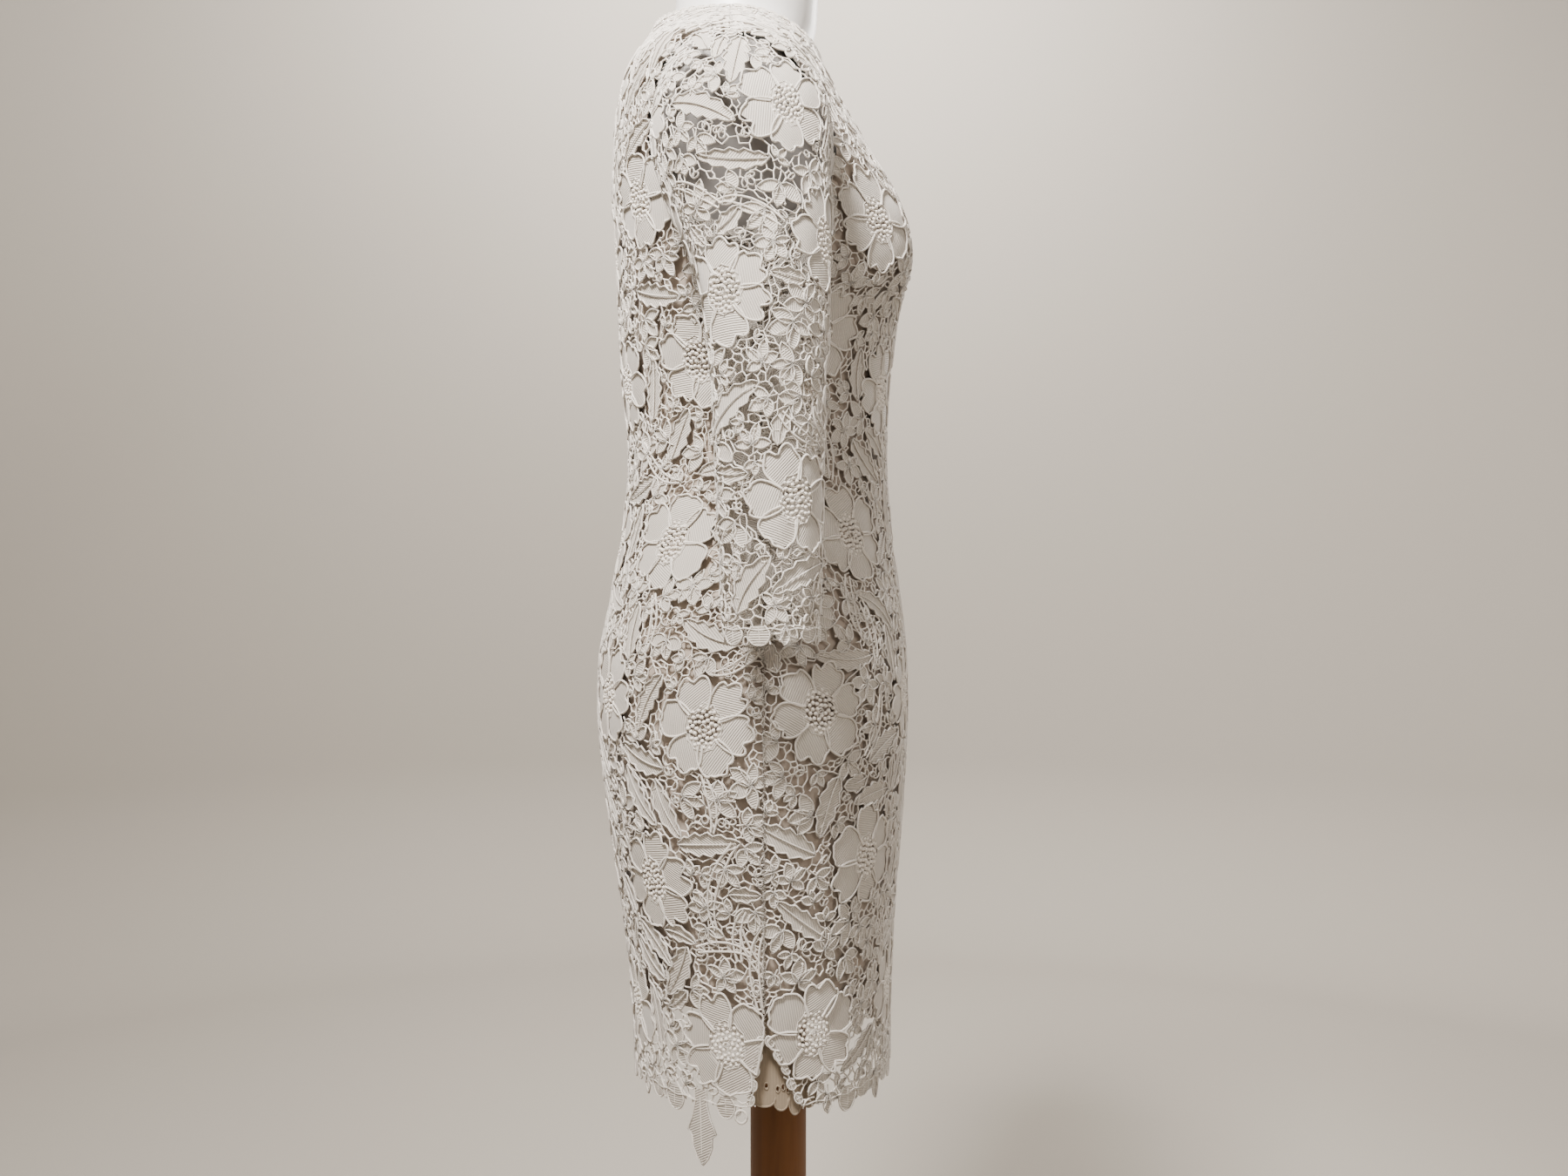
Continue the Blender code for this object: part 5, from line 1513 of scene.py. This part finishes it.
def add_bump(tree, shader, height, distance, strength, rounding=None):
    """Fine relief; on hard parts, over edges and facets that are shaded as if rounded this far."""
    bump = tree.nodes.new("ShaderNodeBump")
    feed(bump, {"Distance": distance, "Strength": strength, "Height": height})
    if rounding:
        rounded = tree.nodes.new("ShaderNodeBevel")
        rounded.samples = BEVEL_SAMPLES
        feed(bump, {"Normal": feed(rounded, {"Radius": rounding})["Normal"]})
    feed(shader, {"Normal": bump.outputs["Normal"]})


def cloth_material(name, light, dark, pitch, relief, roughness, sheen, rib_shade=0.0):
    """Thread or weave: rib_shade is how much darker the hollows between the ribs are."""
    made, tree, shader = new_material(name)
    thread = add_group(tree, THREAD_GROUP, {"Rib Pitch": pitch})
    shade = maths(tree, "MULTIPLY_ADD", thread["Ribs"], rib_shade, 1.0 - rib_shade)
    tones = {"Light Tone": (*light, 1.0), "Dark Tone": (*dark, 1.0), "Shade": shade}
    values = {
        "Base Color": add_group(tree, TONE_GROUP, tones)["Colour"],
        "Roughness": roughness,
        "Specular IOR Level": CLOTH_SPECULAR,
        "Sheen Weight": sheen,
        "Sheen Roughness": SHEEN_ROUGHNESS,
    }
    feed(shader, values)
    add_bump(tree, shader, thread["Height"], relief, THREAD_STRENGTH)
    return made


LACE = cloth_material(
    "lace_cord", light=(0.84, 0.79, 0.73), dark=(0.75, 0.69, 0.62),
    pitch=0.0024, relief=0.0004, roughness=0.80, sheen=0.20, rib_shade=0.08,
)
# Painted shade: the petals' satin is the same thread as the cords, given darker tones for the shade of its
# lower, ribbed face.
SHADED_SATIN = cloth_material(
    "lace_satin_painted_shade", light=(0.66, 0.61, 0.55), dark=(0.55, 0.50, 0.445),
    pitch=0.0017, relief=0.0007, roughness=0.72, sheen=0.20, rib_shade=0.28,
)
# Painted shade: the underlap is cream lace like the rest, given dark brown tones for the shade of its
# recess.
SHADED_UNDERLAP = cloth_material(
    "lace_underlap_painted_shade", light=(0.33, 0.265, 0.195), dark=(0.25, 0.195, 0.14),
    pitch=0.0024, relief=0.0002, roughness=0.85, sheen=0.20, rib_shade=0.04,
)
# Partly painted shade: the lining's own beige is darkened for the shade in the gaps behind the lace; the
# zip tapes share it.
LINING_WITH_SHADE = cloth_material(
    "lining_weave_with_painted_shade", light=(0.46, 0.385, 0.325), dark=(0.36, 0.30, 0.25),
    pitch=0.0006, relief=0.00008, roughness=0.60, sheen=0.25,
)
print("cloth materials:", [made.name for made in (LACE, SHADED_SATIN, SHADED_UNDERLAP, LINING_WITH_SHADE)])

# %% [markdown]
# ## Making up the lace panels
# Each panel is drawn on its own board: large flowers first, then the open edges, then the filling and
# the net. The ground, which is petals and bars, becomes the sheet that stands for the cloth. The thick
# rims, the thinner cords and the knots become three more pieces that go with it. The front is one piece
# of cloth, so its board holds both of its sides, and each sleeve is drawn whole over both its solids.

PANELS = (
    ("lace_front", "front", None),
    ("lace_back_left", "back", 1),
    ("lace_back_right", "back", -1),
    ("sleeve_left", "sleeve", 1),
    ("sleeve_right", "sleeve", -1),
)
BODY = "dress_and_stand"
THICK_CORD = 0.00091
BAR_SIDES, CORD_SIDES, RIM_SIDES = 3, 3, 4


def cloth_piece(made, slot, *hides):
    """A piece of cloth on the dress, and the solids that it stands in for."""
    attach(made, BODY)
    if hides:
        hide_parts(*hides)
    return made


def lace_panel(name, cut_name, hand):
    cut = CUTS[cut_name]
    board = Board(cut)
    for place, turn in flower_places(cut_name):
        drawn = held_in(Drawing().add(flower(turn), place), cut)
        board.put(drawn, drawn.spots())
    if cut_name == "sleeve":
        cuff_edge(board)
    else:
        body_edges(board)
    counts = fill(board)
    bars, drawn = net_bars(board), board.drawing
    ground, rims, cords, knots = (Shape(cut, hand) for _ in range(4))
    ground.patches(drawn.patches)
    ground.strokes([(bar, np.full(2, BAR_CORD), np.full(2, BAR_HIGH), False) for bar in bars], BAR_SIDES)
    rims.strokes([stroke for stroke in drawn.strokes if stroke[1].max() > THICK_CORD], RIM_SIDES)
    cords.strokes([stroke for stroke in drawn.strokes if stroke[1].max() <= THICK_CORD], CORD_SIDES)
    knots.knots(drawn.knots)
    print(name, "motifs", counts, "bars", len(bars), "covered", round(float(board.taken.mean()), 2))
    nodes = [name + half for half in ("_front", "_back")] if cut_name == "sleeve" else [name]
    sheet = cloth_piece(ground.mesh(name + "_ground", LACE, SHADED_SATIN), "lace", *nodes)
    raised = (("_rims", rims), ("_cords", cords), ("_knots", knots))
    [cloth_piece(shape.mesh(name + kind, LACE), "lace") for kind, shape in raised]


for panel in PANELS:
    lace_panel(*panel)

# %% [markdown]
# ## The lining
# A plain woven lining, cut a little smaller than the lace, hangs close behind it and gives the dress its
# cover. It is a grid over the flat cut with its edge squares drawn in to the outline, and it has two
# faces and a rim, as real cloth has. A cloth simulation would only shake it into the same place, since
# it lies on the form.

# %% Lining sheets behind the lace
LINING_OUT = -0.0048
LINING_THICK = 0.0008
LINING_STEP = 0.0090
SHOULDER_DROP = 0.0028
SHOULDER_FROM_Z = 1.295
SHOULDER_OVER = 0.040


def shoulder_drop(z):
    """How much deeper the lining lies on the shoulder, where it is fitted."""
    return SHOULDER_DROP * np.clip((z - SHOULDER_FROM_Z) / SHOULDER_OVER, 0, 1)


def flat_grid(edge, outline, step, holes=()):
    """A grid over a cut: its flat points and the faces that lie inside the edge and clear of holes."""
    low, high = outline.min(axis=0) - step, outline.max(axis=0) + step
    u, v = np.meshgrid(np.arange(low[0], high[0], step), np.arange(low[1], high[1], step), indexing="ij")
    flat = np.stack([u.ravel(), v.ravel()], axis=1)
    faces = grid_faces(np.arange(u.size).reshape(u.shape))
    distance = edge.at(flat)
    faces = faces[(distance[faces] > 0).any(axis=1)]
    flat = np.where((distance < 0)[:, None], edge.trimmed(flat, distance), flat)
    middle = flat[faces].mean(axis=1)
    for centre, radii in holes:
        faces, middle = (x[(((middle - centre) / radii) ** 2).sum(axis=1) > 1] for x in (faces, middle))
    return flat, faces


def thick_sheet(shape, flat, faces, out, thick):
    """Adds a sheet with two faces and a rim: out gives the height of its outer face at each point."""
    count = len(flat)
    edges = np.stack([faces, np.roll(faces, -1, axis=1)], axis=-1).reshape(-1, 2)
    lone = ~np.isin(edges[:, 0] * count + edges[:, 1], edges[:, 1] * count + edges[:, 0])
    a, b = edges[lone].T
    rim = np.stack([a, a + count, b + count, b], axis=1)
    both, high = np.concatenate([flat, flat]), np.concatenate([out, out - thick])
    shape.add(both, high, [faces, faces[:, ::-1] + count, rim], both)


LININGS = (
    ("lining_front", "front", None),
    ("lining_back_left", "back", 1),
    ("lining_back_right", "back", -1),
)
LINING_OUTLINES = {
    "front": body_outline(CUTS["front"], lining=True).mirrored(),
    "back": body_outline(CUTS["back"], lining=True).halved(),
}


def lining_panel(name, cut_name, hand):
    """One panel of the lining, a sheet with two faces and a rim, in place of its solid."""
    cut, points = CUTS[cut_name], np.array(LINING_OUTLINES[cut_name].points)
    flat, faces = flat_grid(DistanceMap(LINING_OUTLINES[cut_name]), points, LINING_STEP)
    z = cut.place(flat, np.zeros(len(flat)), hand)[:, 2]
    shape = Shape(cut, hand)
    thick_sheet(shape, flat, faces, LINING_OUT - shoulder_drop(z), LINING_THICK)
    made = cloth_piece(shape.mesh(name + "_cloth", LINING_WITH_SHADE), "lining", name)


for panel in LININGS:
    lining_panel(*panel)

# %% [markdown]
# ## The underlap in each side vent
# Behind the vent lies a turned strip of smooth cream lace, with a few eyelets above its blunt tips. It
# crosses the side seam, so it is drawn on a wrap that joins the front cut to the back cut there. The
# strip is a sheet with real holes, and a cord round each hole and each tip. Its dark brown tones are
# painted shade of its recess behind the vent.

# %% The vents' underlaps
UNDERLAP_OUT = -0.0062
UNDERLAP_THICK = 0.0015
UNDERLAP_STEP = 0.0011
UNDERLAP_TOP = ((0.014, 0.046), (0.012, 0.067), (-0.018, 0.067), (-0.038, 0.044), (-0.046, 0.010))
# Blunt tips of the underlap: middle, half width, v of the notch, v of the foot
TIPS = (
    (-0.0380, 0.0065, 0.008, -0.004),
    (-0.0255, 0.0052, 0.006, -0.008),
    (-0.0140, 0.0056, 0.004, -0.004),
    (-0.0005, 0.0085, 0.006, -0.001),
)
EYELETS = ((-0.034, 0.0125), (-0.0195, 0.0110), (-0.0155, 0.0132), (-0.0110, 0.0120), (-0.0020, 0.0145))
EYELET_RADII = np.array((0.0013, 0.0021))
EYELET_CORD, TIP_CORD = 0.0006, 0.0008


def underlap_foot():
    """The blunt tips from front to back."""
    turns = np.linspace(math.pi, 2 * math.pi, 15)
    points = []
    for middle, half, notch, foot in TIPS:
        round_end = np.abs(np.sin(turns)) ** 0.7
        points += list(zip(middle + half * np.cos(turns), notch + (foot - notch) * round_end))
    return points


class Wrap:
    """The face round a side seam: u is the distance behind the seam, v the height above the hem."""

    name, facing = "vent", 1

    def __init__(self, outline):
        self.edge, self.open_edge = DistanceMap(outline), DistanceMap(outline, only_open=True)

    def place(self, flat, out, hand):
        front, back = CUTS["front"], CUTS["back"]
        behind, v = flat.T
        ahead = np.stack([front.reach(v) + np.minimum(behind, 0), v], axis=1)
        after = np.stack([back.reach(v) - np.maximum(behind, 0), v], axis=1)
        on_front = front.place(ahead, out, hand)
        return np.where((behind <= 0)[:, None], on_front, back.place(after, out, hand))


def underlap(name, hand):
    """The turned strip behind one vent, with its eyelets, in place of its solid."""
    foot = underlap_foot()
    outline = Outline().run(foot + list(UNDERLAP_TOP), True)
    wrap, points = Wrap(outline), np.array(outline.points)
    holes = [(np.array(spot), EYELET_RADII) for spot in EYELETS]
    flat, faces = flat_grid(wrap.edge, points, UNDERLAP_STEP, holes)
    sheet, cords, drawn = Shape(wrap, hand), Shape(wrap, hand), Drawing()
    thick_sheet(sheet, flat, faces, np.full(len(flat), UNDERLAP_OUT), UNDERLAP_THICK)
    for spot, radii in holes:
        drawn.stroke(oval(full_turn(16), *(radii + 0.0004)) + spot, EYELET_CORD, UNDERLAP_OUT, True)
    drawn.stroke(foot, TIP_CORD, UNDERLAP_OUT)
    cords.strokes(drawn.strokes, 5)
    made = cloth_piece(sheet.mesh(name + "_cloth", SHADED_UNDERLAP), "lace", name)
    edging = cloth_piece(cords.mesh(name + "_cords", SHADED_UNDERLAP), "lace")


underlap("vent_underlap_left", 1)
underlap("vent_underlap_right", -1)

# %% [markdown]
# ## Seams
# The lace panels meet edge to edge and are joined with a zigzag of thread from one edge to the other:
# side seams, shoulders, armholes and the seam under each arm. The seam down the outside of the sleeve
# isn't stitched, because the sleeve is drawn whole. All the threads are tubes along points of the edges.

# %% Zigzag stitches along the seams
STITCH_PITCH = 0.0032
STITCH_REACH = 0.0014
STITCH_CORD = 0.00036


def tube_mesh(name, paths, radius, sides, finish):
    """One mesh of round tubes along paths of points."""
    corners, faces, uvs, count = [], [], [], 0
    turns = 2 * math.pi * np.arange(sides) / sides
    for path in paths:
        tangent = np.gradient(path, axis=0)
        tangent /= np.maximum(np.linalg.norm(tangent, axis=1), 1e-9)[:, None]
        guide = np.where(np.abs(tangent[:, 2:]) > 0.9, (0.0, 1.0, 0.0), (0.0, 0.0, 1.0))
        first = np.cross(tangent, guide)
        first /= np.linalg.norm(first, axis=1)[:, None]
        second = np.cross(tangent, first)
        ring = first[:, None] * np.cos(turns)[:, None] + second[:, None] * np.sin(turns)[:, None]
        corners.append((path[:, None] + radius * ring).reshape(-1, 3))
        start = count + np.arange(len(path) - 1) * sides
        faces += band_faces(start, start + sides, sides).tolist()
        uvs.append(cord_uvs(arc_along(path), sides))
        count += len(path) * sides
    mesh = bpy.data.meshes.new(name)
    mesh.from_pydata(np.concatenate(corners).tolist(), [], faces)
    layer = mesh.uv_layers.new(name="thread")
    order = np.empty(len(mesh.loops), np.int32)
    mesh.loops.foreach_get("vertex_index", order)
    layer.data.foreach_set("uv", np.concatenate(uvs)[order].astype(np.float32).ravel())
    mesh.shade_smooth()
    mesh.materials.append(finish)
    print(name, "triangles", 2 * len(faces))
    return linked(name, mesh)


def zigzag(first, second):
    """A path that steps from one edge to the other."""
    steps = np.arange(len(first))[:, None]
    return np.where(steps % 2 == 0, first, second)


def side_seam(low, high):
    """A seam at the side or on the shoulder, between two heights."""
    z = np.arange(low, high, STITCH_PITCH / 2)
    found = []
    for part in ("front", "back"):
        flat = CUTS[part].flat(90.0, z) - (STITCH_REACH, 0)
        found.append(CUTS[part].place(flat, np.zeros(len(flat)), 1))
    return zigzag(*found)


def armhole_seam(part):
    """The front or the back half of the seam round the armhole."""
    turns = np.linspace(3, 177, 130) if part == "front" else np.linspace(183, 357, 150)
    middle, half = sum(ARMHOLE_Z) / 2, (ARMHOLE_Z[1] - ARMHOLE_Z[0]) / 2
    z = middle - half * np.cos(np.radians(turns))
    away = ARMHOLE_DEPTH[part] * np.abs(np.sin(np.radians(turns))) + STITCH_REACH
    on_sleeve = sleeve_face(turns, np.array([0.06]))[:, 0]
    return zigzag(on_sleeve, body_face(part, armhole_angle(part, z, away), z))


def sleeve_seam(turn):
    """A seam down the sleeve at a turn, from the armhole to the cuff."""
    along = np.linspace(0.05, len(SLEEVE) - 0.03, 300)
    apart = math.degrees(STITCH_REACH / 0.05)
    edges = [sleeve_face(np.array([(turn + way * apart) % 360]), along)[0] for way in (-1, 1)]
    return zigzag(*edges)


def mirrored_paths(paths):
    """The paths of the left side, and the same on the right."""
    return paths + [path * (-1, 1, 1) for path in paths]


seams = [side_seam(VENT_TOP_Z, ARMHOLE_Z[0]), side_seam(ARMHOLE_Z[1], NECK_Z["side"])]
seams += [armhole_seam("front"), armhole_seam("back"), sleeve_seam(0.0)]
stitches = tube_mesh("seam_stitches", mirrored_paths(seams), STITCH_CORD, 3, LACE)
cloth_piece(stitches, "lace")

# %% [markdown]
# ## The back zip
# The dress opens down the centre back with a zip. Its coil is one plastic thread wound in a tight helix,
# which lies between the two lace edges, with a woven tape behind on each side. A screw modifier on a
# circle would wind it too, but the coil has to follow the curve of the back, so each turn is placed on
# the back's own face.

# %% Coil and tapes
ZIP_TOP_Z, ZIP_FOOT_Z = 1.3745, 0.950
COIL_PITCH = 0.0018
COIL_TURN_POINTS = 6
COIL_RADIUS = 0.0010
COIL_CORD = 0.00036
COIL_OUT = -0.0024
TAPE_OUT, TAPE_THICK = -0.0037, 0.0005
TAPE_FROM, TAPE_WIDE = 0.0004, 0.011
TAPE_BELOW, TAPE_ABOVE, TAPE_STEP = 0.010, 0.004, 0.004


def back_heights(low, high, step):
    """Heights above the hem, along the cloth of the centre back."""
    foot, head = CUTS["back"].flat(0.0, np.array([low, high]))[:, 1]
    return np.arange(foot, head, step)


coil_v = back_heights(ZIP_FOOT_Z, ZIP_TOP_Z, COIL_PITCH / COIL_TURN_POINTS)
coil_turn = 2 * math.pi * coil_v / COIL_PITCH
coil_path = CUTS["back"].place(
    np.stack([np.zeros(len(coil_v)), coil_v], axis=1), COIL_OUT + COIL_RADIUS * np.sin(coil_turn), 1
)
coil_path[:, 0] = COIL_RADIUS * np.cos(coil_turn)
coil = tube_mesh("zip_coil", [coil_path], COIL_CORD, 3, LACE)
cloth_piece(coil, "lace")


def zip_tape(name, hand):
    """The woven tape behind one edge of the back, resting on the lining."""
    v = back_heights(ZIP_FOOT_Z - TAPE_BELOW, ZIP_TOP_Z + TAPE_ABOVE, TAPE_STEP)
    u, height = np.meshgrid(np.linspace(TAPE_FROM, TAPE_WIDE, 4), v, indexing="ij")
    flat = np.stack([u.ravel(), height.ravel()], axis=1)
    faces = grid_faces(np.arange(len(flat)).reshape(u.shape))
    shape = Shape(CUTS["back"], hand)
    z = CUTS["back"].place(flat, np.zeros(len(flat)), hand)[:, 2]
    thick_sheet(shape, flat, faces, TAPE_OUT - 0.3 * shoulder_drop(z), TAPE_THICK)
    made = cloth_piece(shape.mesh(name, LINING_WITH_SHADE), "lining")


zip_tape("zip_tape_left", 1)
zip_tape("zip_tape_right", -1)

# %% [markdown]
# ## The form, the pole and the zip's metal
# The form is a moulded shell, satin white at the neck, and below it its colour turns to grey: painted
# shade of the inside of the dress. Its skin is never quite even: a slow drift in its gloss and a very fine
# grain say so. The pole and base are dark oiled wood, whose grain is noise stretched along the pole and
# across the base, and the base's darker tones are painted shade against the strong light on its top. The
# slider is metal, painted to match the lace. These solids keep their shape: their finishes shade edges and
# facets as if they were rounded, which a Bevel modifier would do in the mesh.

# %% Node groups and finishes for the hard parts


def drifting_skin():
    """Slow drift and fine grain for a hard skin."""
    group, given, result = new_group(
        "drifting_skin",
        (("Drift Scale", "NodeSocketFloat", 7.0), ("Grain Scale", "NodeSocketFloat", 900.0)),
        (("Drift", "NodeSocketFloat"), ("Height", "NodeSocketFloat")),
    )
    drift = noise(group, given.outputs["Drift Scale"], DRIFT_DETAIL)
    feed(result, {"Drift": drift, "Height": noise(group, given.outputs["Grain Scale"])})
    return group


def wood_grain():
    """Grain along one axis: how far it is stretched is given for each axis."""
    group, given, result = new_group(
        "wood_grain",
        (
            ("Stretch", "NodeSocketVector", (60.0, 60.0, 3.0)),
            ("Light Tone", "NodeSocketColor", (0.2, 0.1, 0.05, 1.0)),
            ("Dark Tone", "NodeSocketColor", (0.05, 0.02, 0.01, 1.0)),
        ),
        (("Colour", "NodeSocketColor"), ("Height", "NodeSocketFloat")),
    )
    stretch, fibre = (group.nodes.new("ShaderNode" + kind) for kind in ("VectorMath", "TexNoise"))
    stretch.operation = "MULTIPLY"
    stretched = feed(stretch, {0: own_place(group), 1: given.outputs["Stretch"]})[0]
    fibres = feed(fibre, {"Vector": stretched, "Scale": 1.0, "Detail": 6.0, "Distortion": 0.6})["Fac"]
    colour = colour_mix(group, fibres, given.outputs["Dark Tone"], given.outputs["Light Tone"])
    feed(result, {"Colour": colour, "Height": fibres})
    return group


SKIN_GROUP, WOOD_GROUP = drifting_skin(), wood_grain()
# Painted shade: below these heights the white shell is coloured grey, for the shade inside the dress.
SHADE_TOP = (1.366, 1.372)
FORM_PAINTED_SHADE = (0.24, 0.225, 0.215)
FORM_ROUNDING = 0.014
WOOD_ROUNDING = 0.0065
ZIP_ROUNDING = 0.0003
GLOSS_DRIFT = 0.14
HARD_STRENGTH = 0.5


def shaded_below_neck(tree, colour, shade_tone):
    """The colour of the bare shell, and below the neck a grey painted shade for the inside of the dress."""
    height = feed(tree.nodes.new("ShaderNodeSeparateXYZ"), {"Vector": own_place(tree)})["Z"]
    low, high = SHADE_TOP
    share = tree.nodes.new("ShaderNodeMapRange")
    above = feed(share, {"Value": height, "From Min": low, "From Max": high})["Result"]
    return colour_mix(tree, above, (*shade_tone, 1.0), (*colour, 1.0))


def skin_material(name, colour, roughness, metallic, distance, rounding, shade_tone=None):
    """A painted or moulded skin, with optional painted shade of another colour below the neck."""
    made, tree, shader = new_material(name)
    skin = add_group(tree, SKIN_GROUP, {"Drift Scale": 7.0, "Grain Scale": 900.0})
    base = shaded_below_neck(tree, colour, shade_tone) if shade_tone else (*colour, 1.0)
    gloss = maths(tree, "MULTIPLY_ADD", skin["Drift"], GLOSS_DRIFT, roughness - GLOSS_DRIFT / 2)
    feed(shader, {"Base Color": base, "Metallic": metallic, "Roughness": gloss})
    add_bump(tree, shader, skin["Height"], distance, HARD_STRENGTH, rounding)
    return made


def wood_material(name, stretch, light, dark, rounding):
    """Dark oiled wood, with its grain stretched along one axis."""
    made, tree, shader = new_material(name)
    tones = {"Light Tone": (*light, 1.0), "Dark Tone": (*dark, 1.0)}
    grain = add_group(tree, WOOD_GROUP, {"Stretch": stretch, **tones})
    feed(shader, {"Base Color": grain["Colour"], "Roughness": 0.55, "Specular IOR Level": 0.3})
    add_bump(tree, shader, grain["Height"], 0.0004, HARD_STRENGTH, rounding)
    return made


FINISHES = {
    "form_torso": skin_material(
        "form_shell", (0.72, 0.705, 0.69), 0.38, 0.0, 0.00004, FORM_ROUNDING, FORM_PAINTED_SHADE
    ),
    "zip_slider": skin_material("zip_paint", (0.78, 0.75, 0.71), 0.34, 0.4, 0.00002, ZIP_ROUNDING),
    "pole": wood_material(
        "pole_wood", (90.0, 90.0, 5.0), (0.190, 0.075, 0.018), (0.065, 0.023, 0.005), WOOD_ROUNDING
    ),
    # The base's tones are darker than the pole's: painted shade that takes down the strong light on its
    # top.
    "base": wood_material(
        "base_wood_painted_shade", (5.0, 90.0, 90.0), (0.120, 0.046, 0.011), (0.042, 0.015, 0.003), WOOD_ROUNDING
    ),
}
FINISHES["zip_pull"] = FINISHES["zip_slider"]
for node, finish in FINISHES.items():
    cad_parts[node].material_slots[0].material = finish
    print(node, "has", finish.name)

# %% [markdown]
# ## Backdrop and light
# The photo was taken in front of a plain wall, in soft light from above. A pale floor that curves up
# into a wall all round stands for the room, so that any side can be looked at. The key hangs above the
# dress on the side that shows, a little to its back. A weaker light fills in from the front, one lights
# the far side, and four wash the walls. The world adds the light of the rest of the room.

# %% Stage and lights
ROOM_R = 2.70
COVE_R = 0.45
ROOM_HIGH = 3.6
ROOM_SIDES = 96


def room():
    """The floor, cove and wall as one turned profile."""
    turns = np.linspace(0, math.pi / 2, 17)
    profile = [(0.0001, 0.0), (ROOM_R - COVE_R, 0.0)]
    profile += [(ROOM_R - COVE_R + COVE_R * math.sin(t), COVE_R - COVE_R * math.cos(t)) for t in turns[1:]]
    profile = np.array(profile + [(ROOM_R, ROOM_HIGH)])
    angles = 2 * math.pi * np.arange(ROOM_SIDES) / ROOM_SIDES
    x = profile[:, None, 0] * np.cos(angles)
    y = profile[:, None, 0] * np.sin(angles)
    z = np.broadcast_to(profile[:, None, 1], x.shape)
    index = np.arange(x.size).reshape(x.shape)
    ahead = np.roll(index, -1, axis=1)
    faces = np.stack([index[:-1], ahead[:-1], ahead[1:], index[1:]], axis=-1).reshape(-1, 4)
    mesh = bpy.data.meshes.new("room")
    mesh.from_pydata(np.stack([x, y, z], axis=-1).reshape(-1, 3).tolist(), [], faces.tolist())
    mesh.shade_smooth()
    return linked("room", mesh)


wall, _, wall_shader = new_material("wall_paint")
feed(wall_shader, {"Base Color": (0.42, 0.39, 0.35, 1.0), "Roughness": 0.9})
backdrop = room()
backdrop.data.materials.append(wall)
backdrop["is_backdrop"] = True

WARM_WHITE = (1.0, 0.96, 0.91)
WALL_POWERS = (95, 34, 34, 34)


def soft_light(name, at, to, size, power, spread=180):
    """A square soft light at a point, turned towards another point."""
    light = bpy.data.lights.new(name, "AREA")
    light.spread = math.radians(spread)
    light.energy, light.size, light.color = power, size, WARM_WHITE
    made = linked(name, light)
    made.location = at
    made.rotation_euler = (Vector(to) - Vector(at)).to_track_quat("-Z", "Y").to_euler()


soft_light("key", (-1.00, 0.48, 2.50), (0, 0, 1.42), 0.36, 37, 90)
soft_light("fill", (-1.9, -1.3, 1.9), (0, 0, 1.1), 0.8, 16)
soft_light("far_side", (1.9, -1.4, 2.1), (0, 0, 1.0), 0.8, 14, 90)
for n, power in enumerate(WALL_POWERS):
    away = np.array((math.cos(n * math.pi / 2), math.sin(n * math.pi / 2), 0))
    soft_light(f"wall_wash_{n}", 1.5 * away + (0, 0, 2.9), 2.9 * away + (0, 0, 2.1), 1.0, power)
world = bpy.data.worlds.new("daylight")
bpy.context.scene.world = world
world.use_nodes = True
feed(world.node_tree.nodes["Background"], {"Color": (1.0, 0.95, 0.88, 1.0), "Strength": 0.24})

# %% Print the sizes and finish
dressed_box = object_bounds()
boxes = {"cad": [list(corner) for corner in cad_box], "scene": [list(corner) for corner in dressed_box]}
for label, box in boxes.items():
    print(label, [round(x, 4) for corner in box for x in corner])
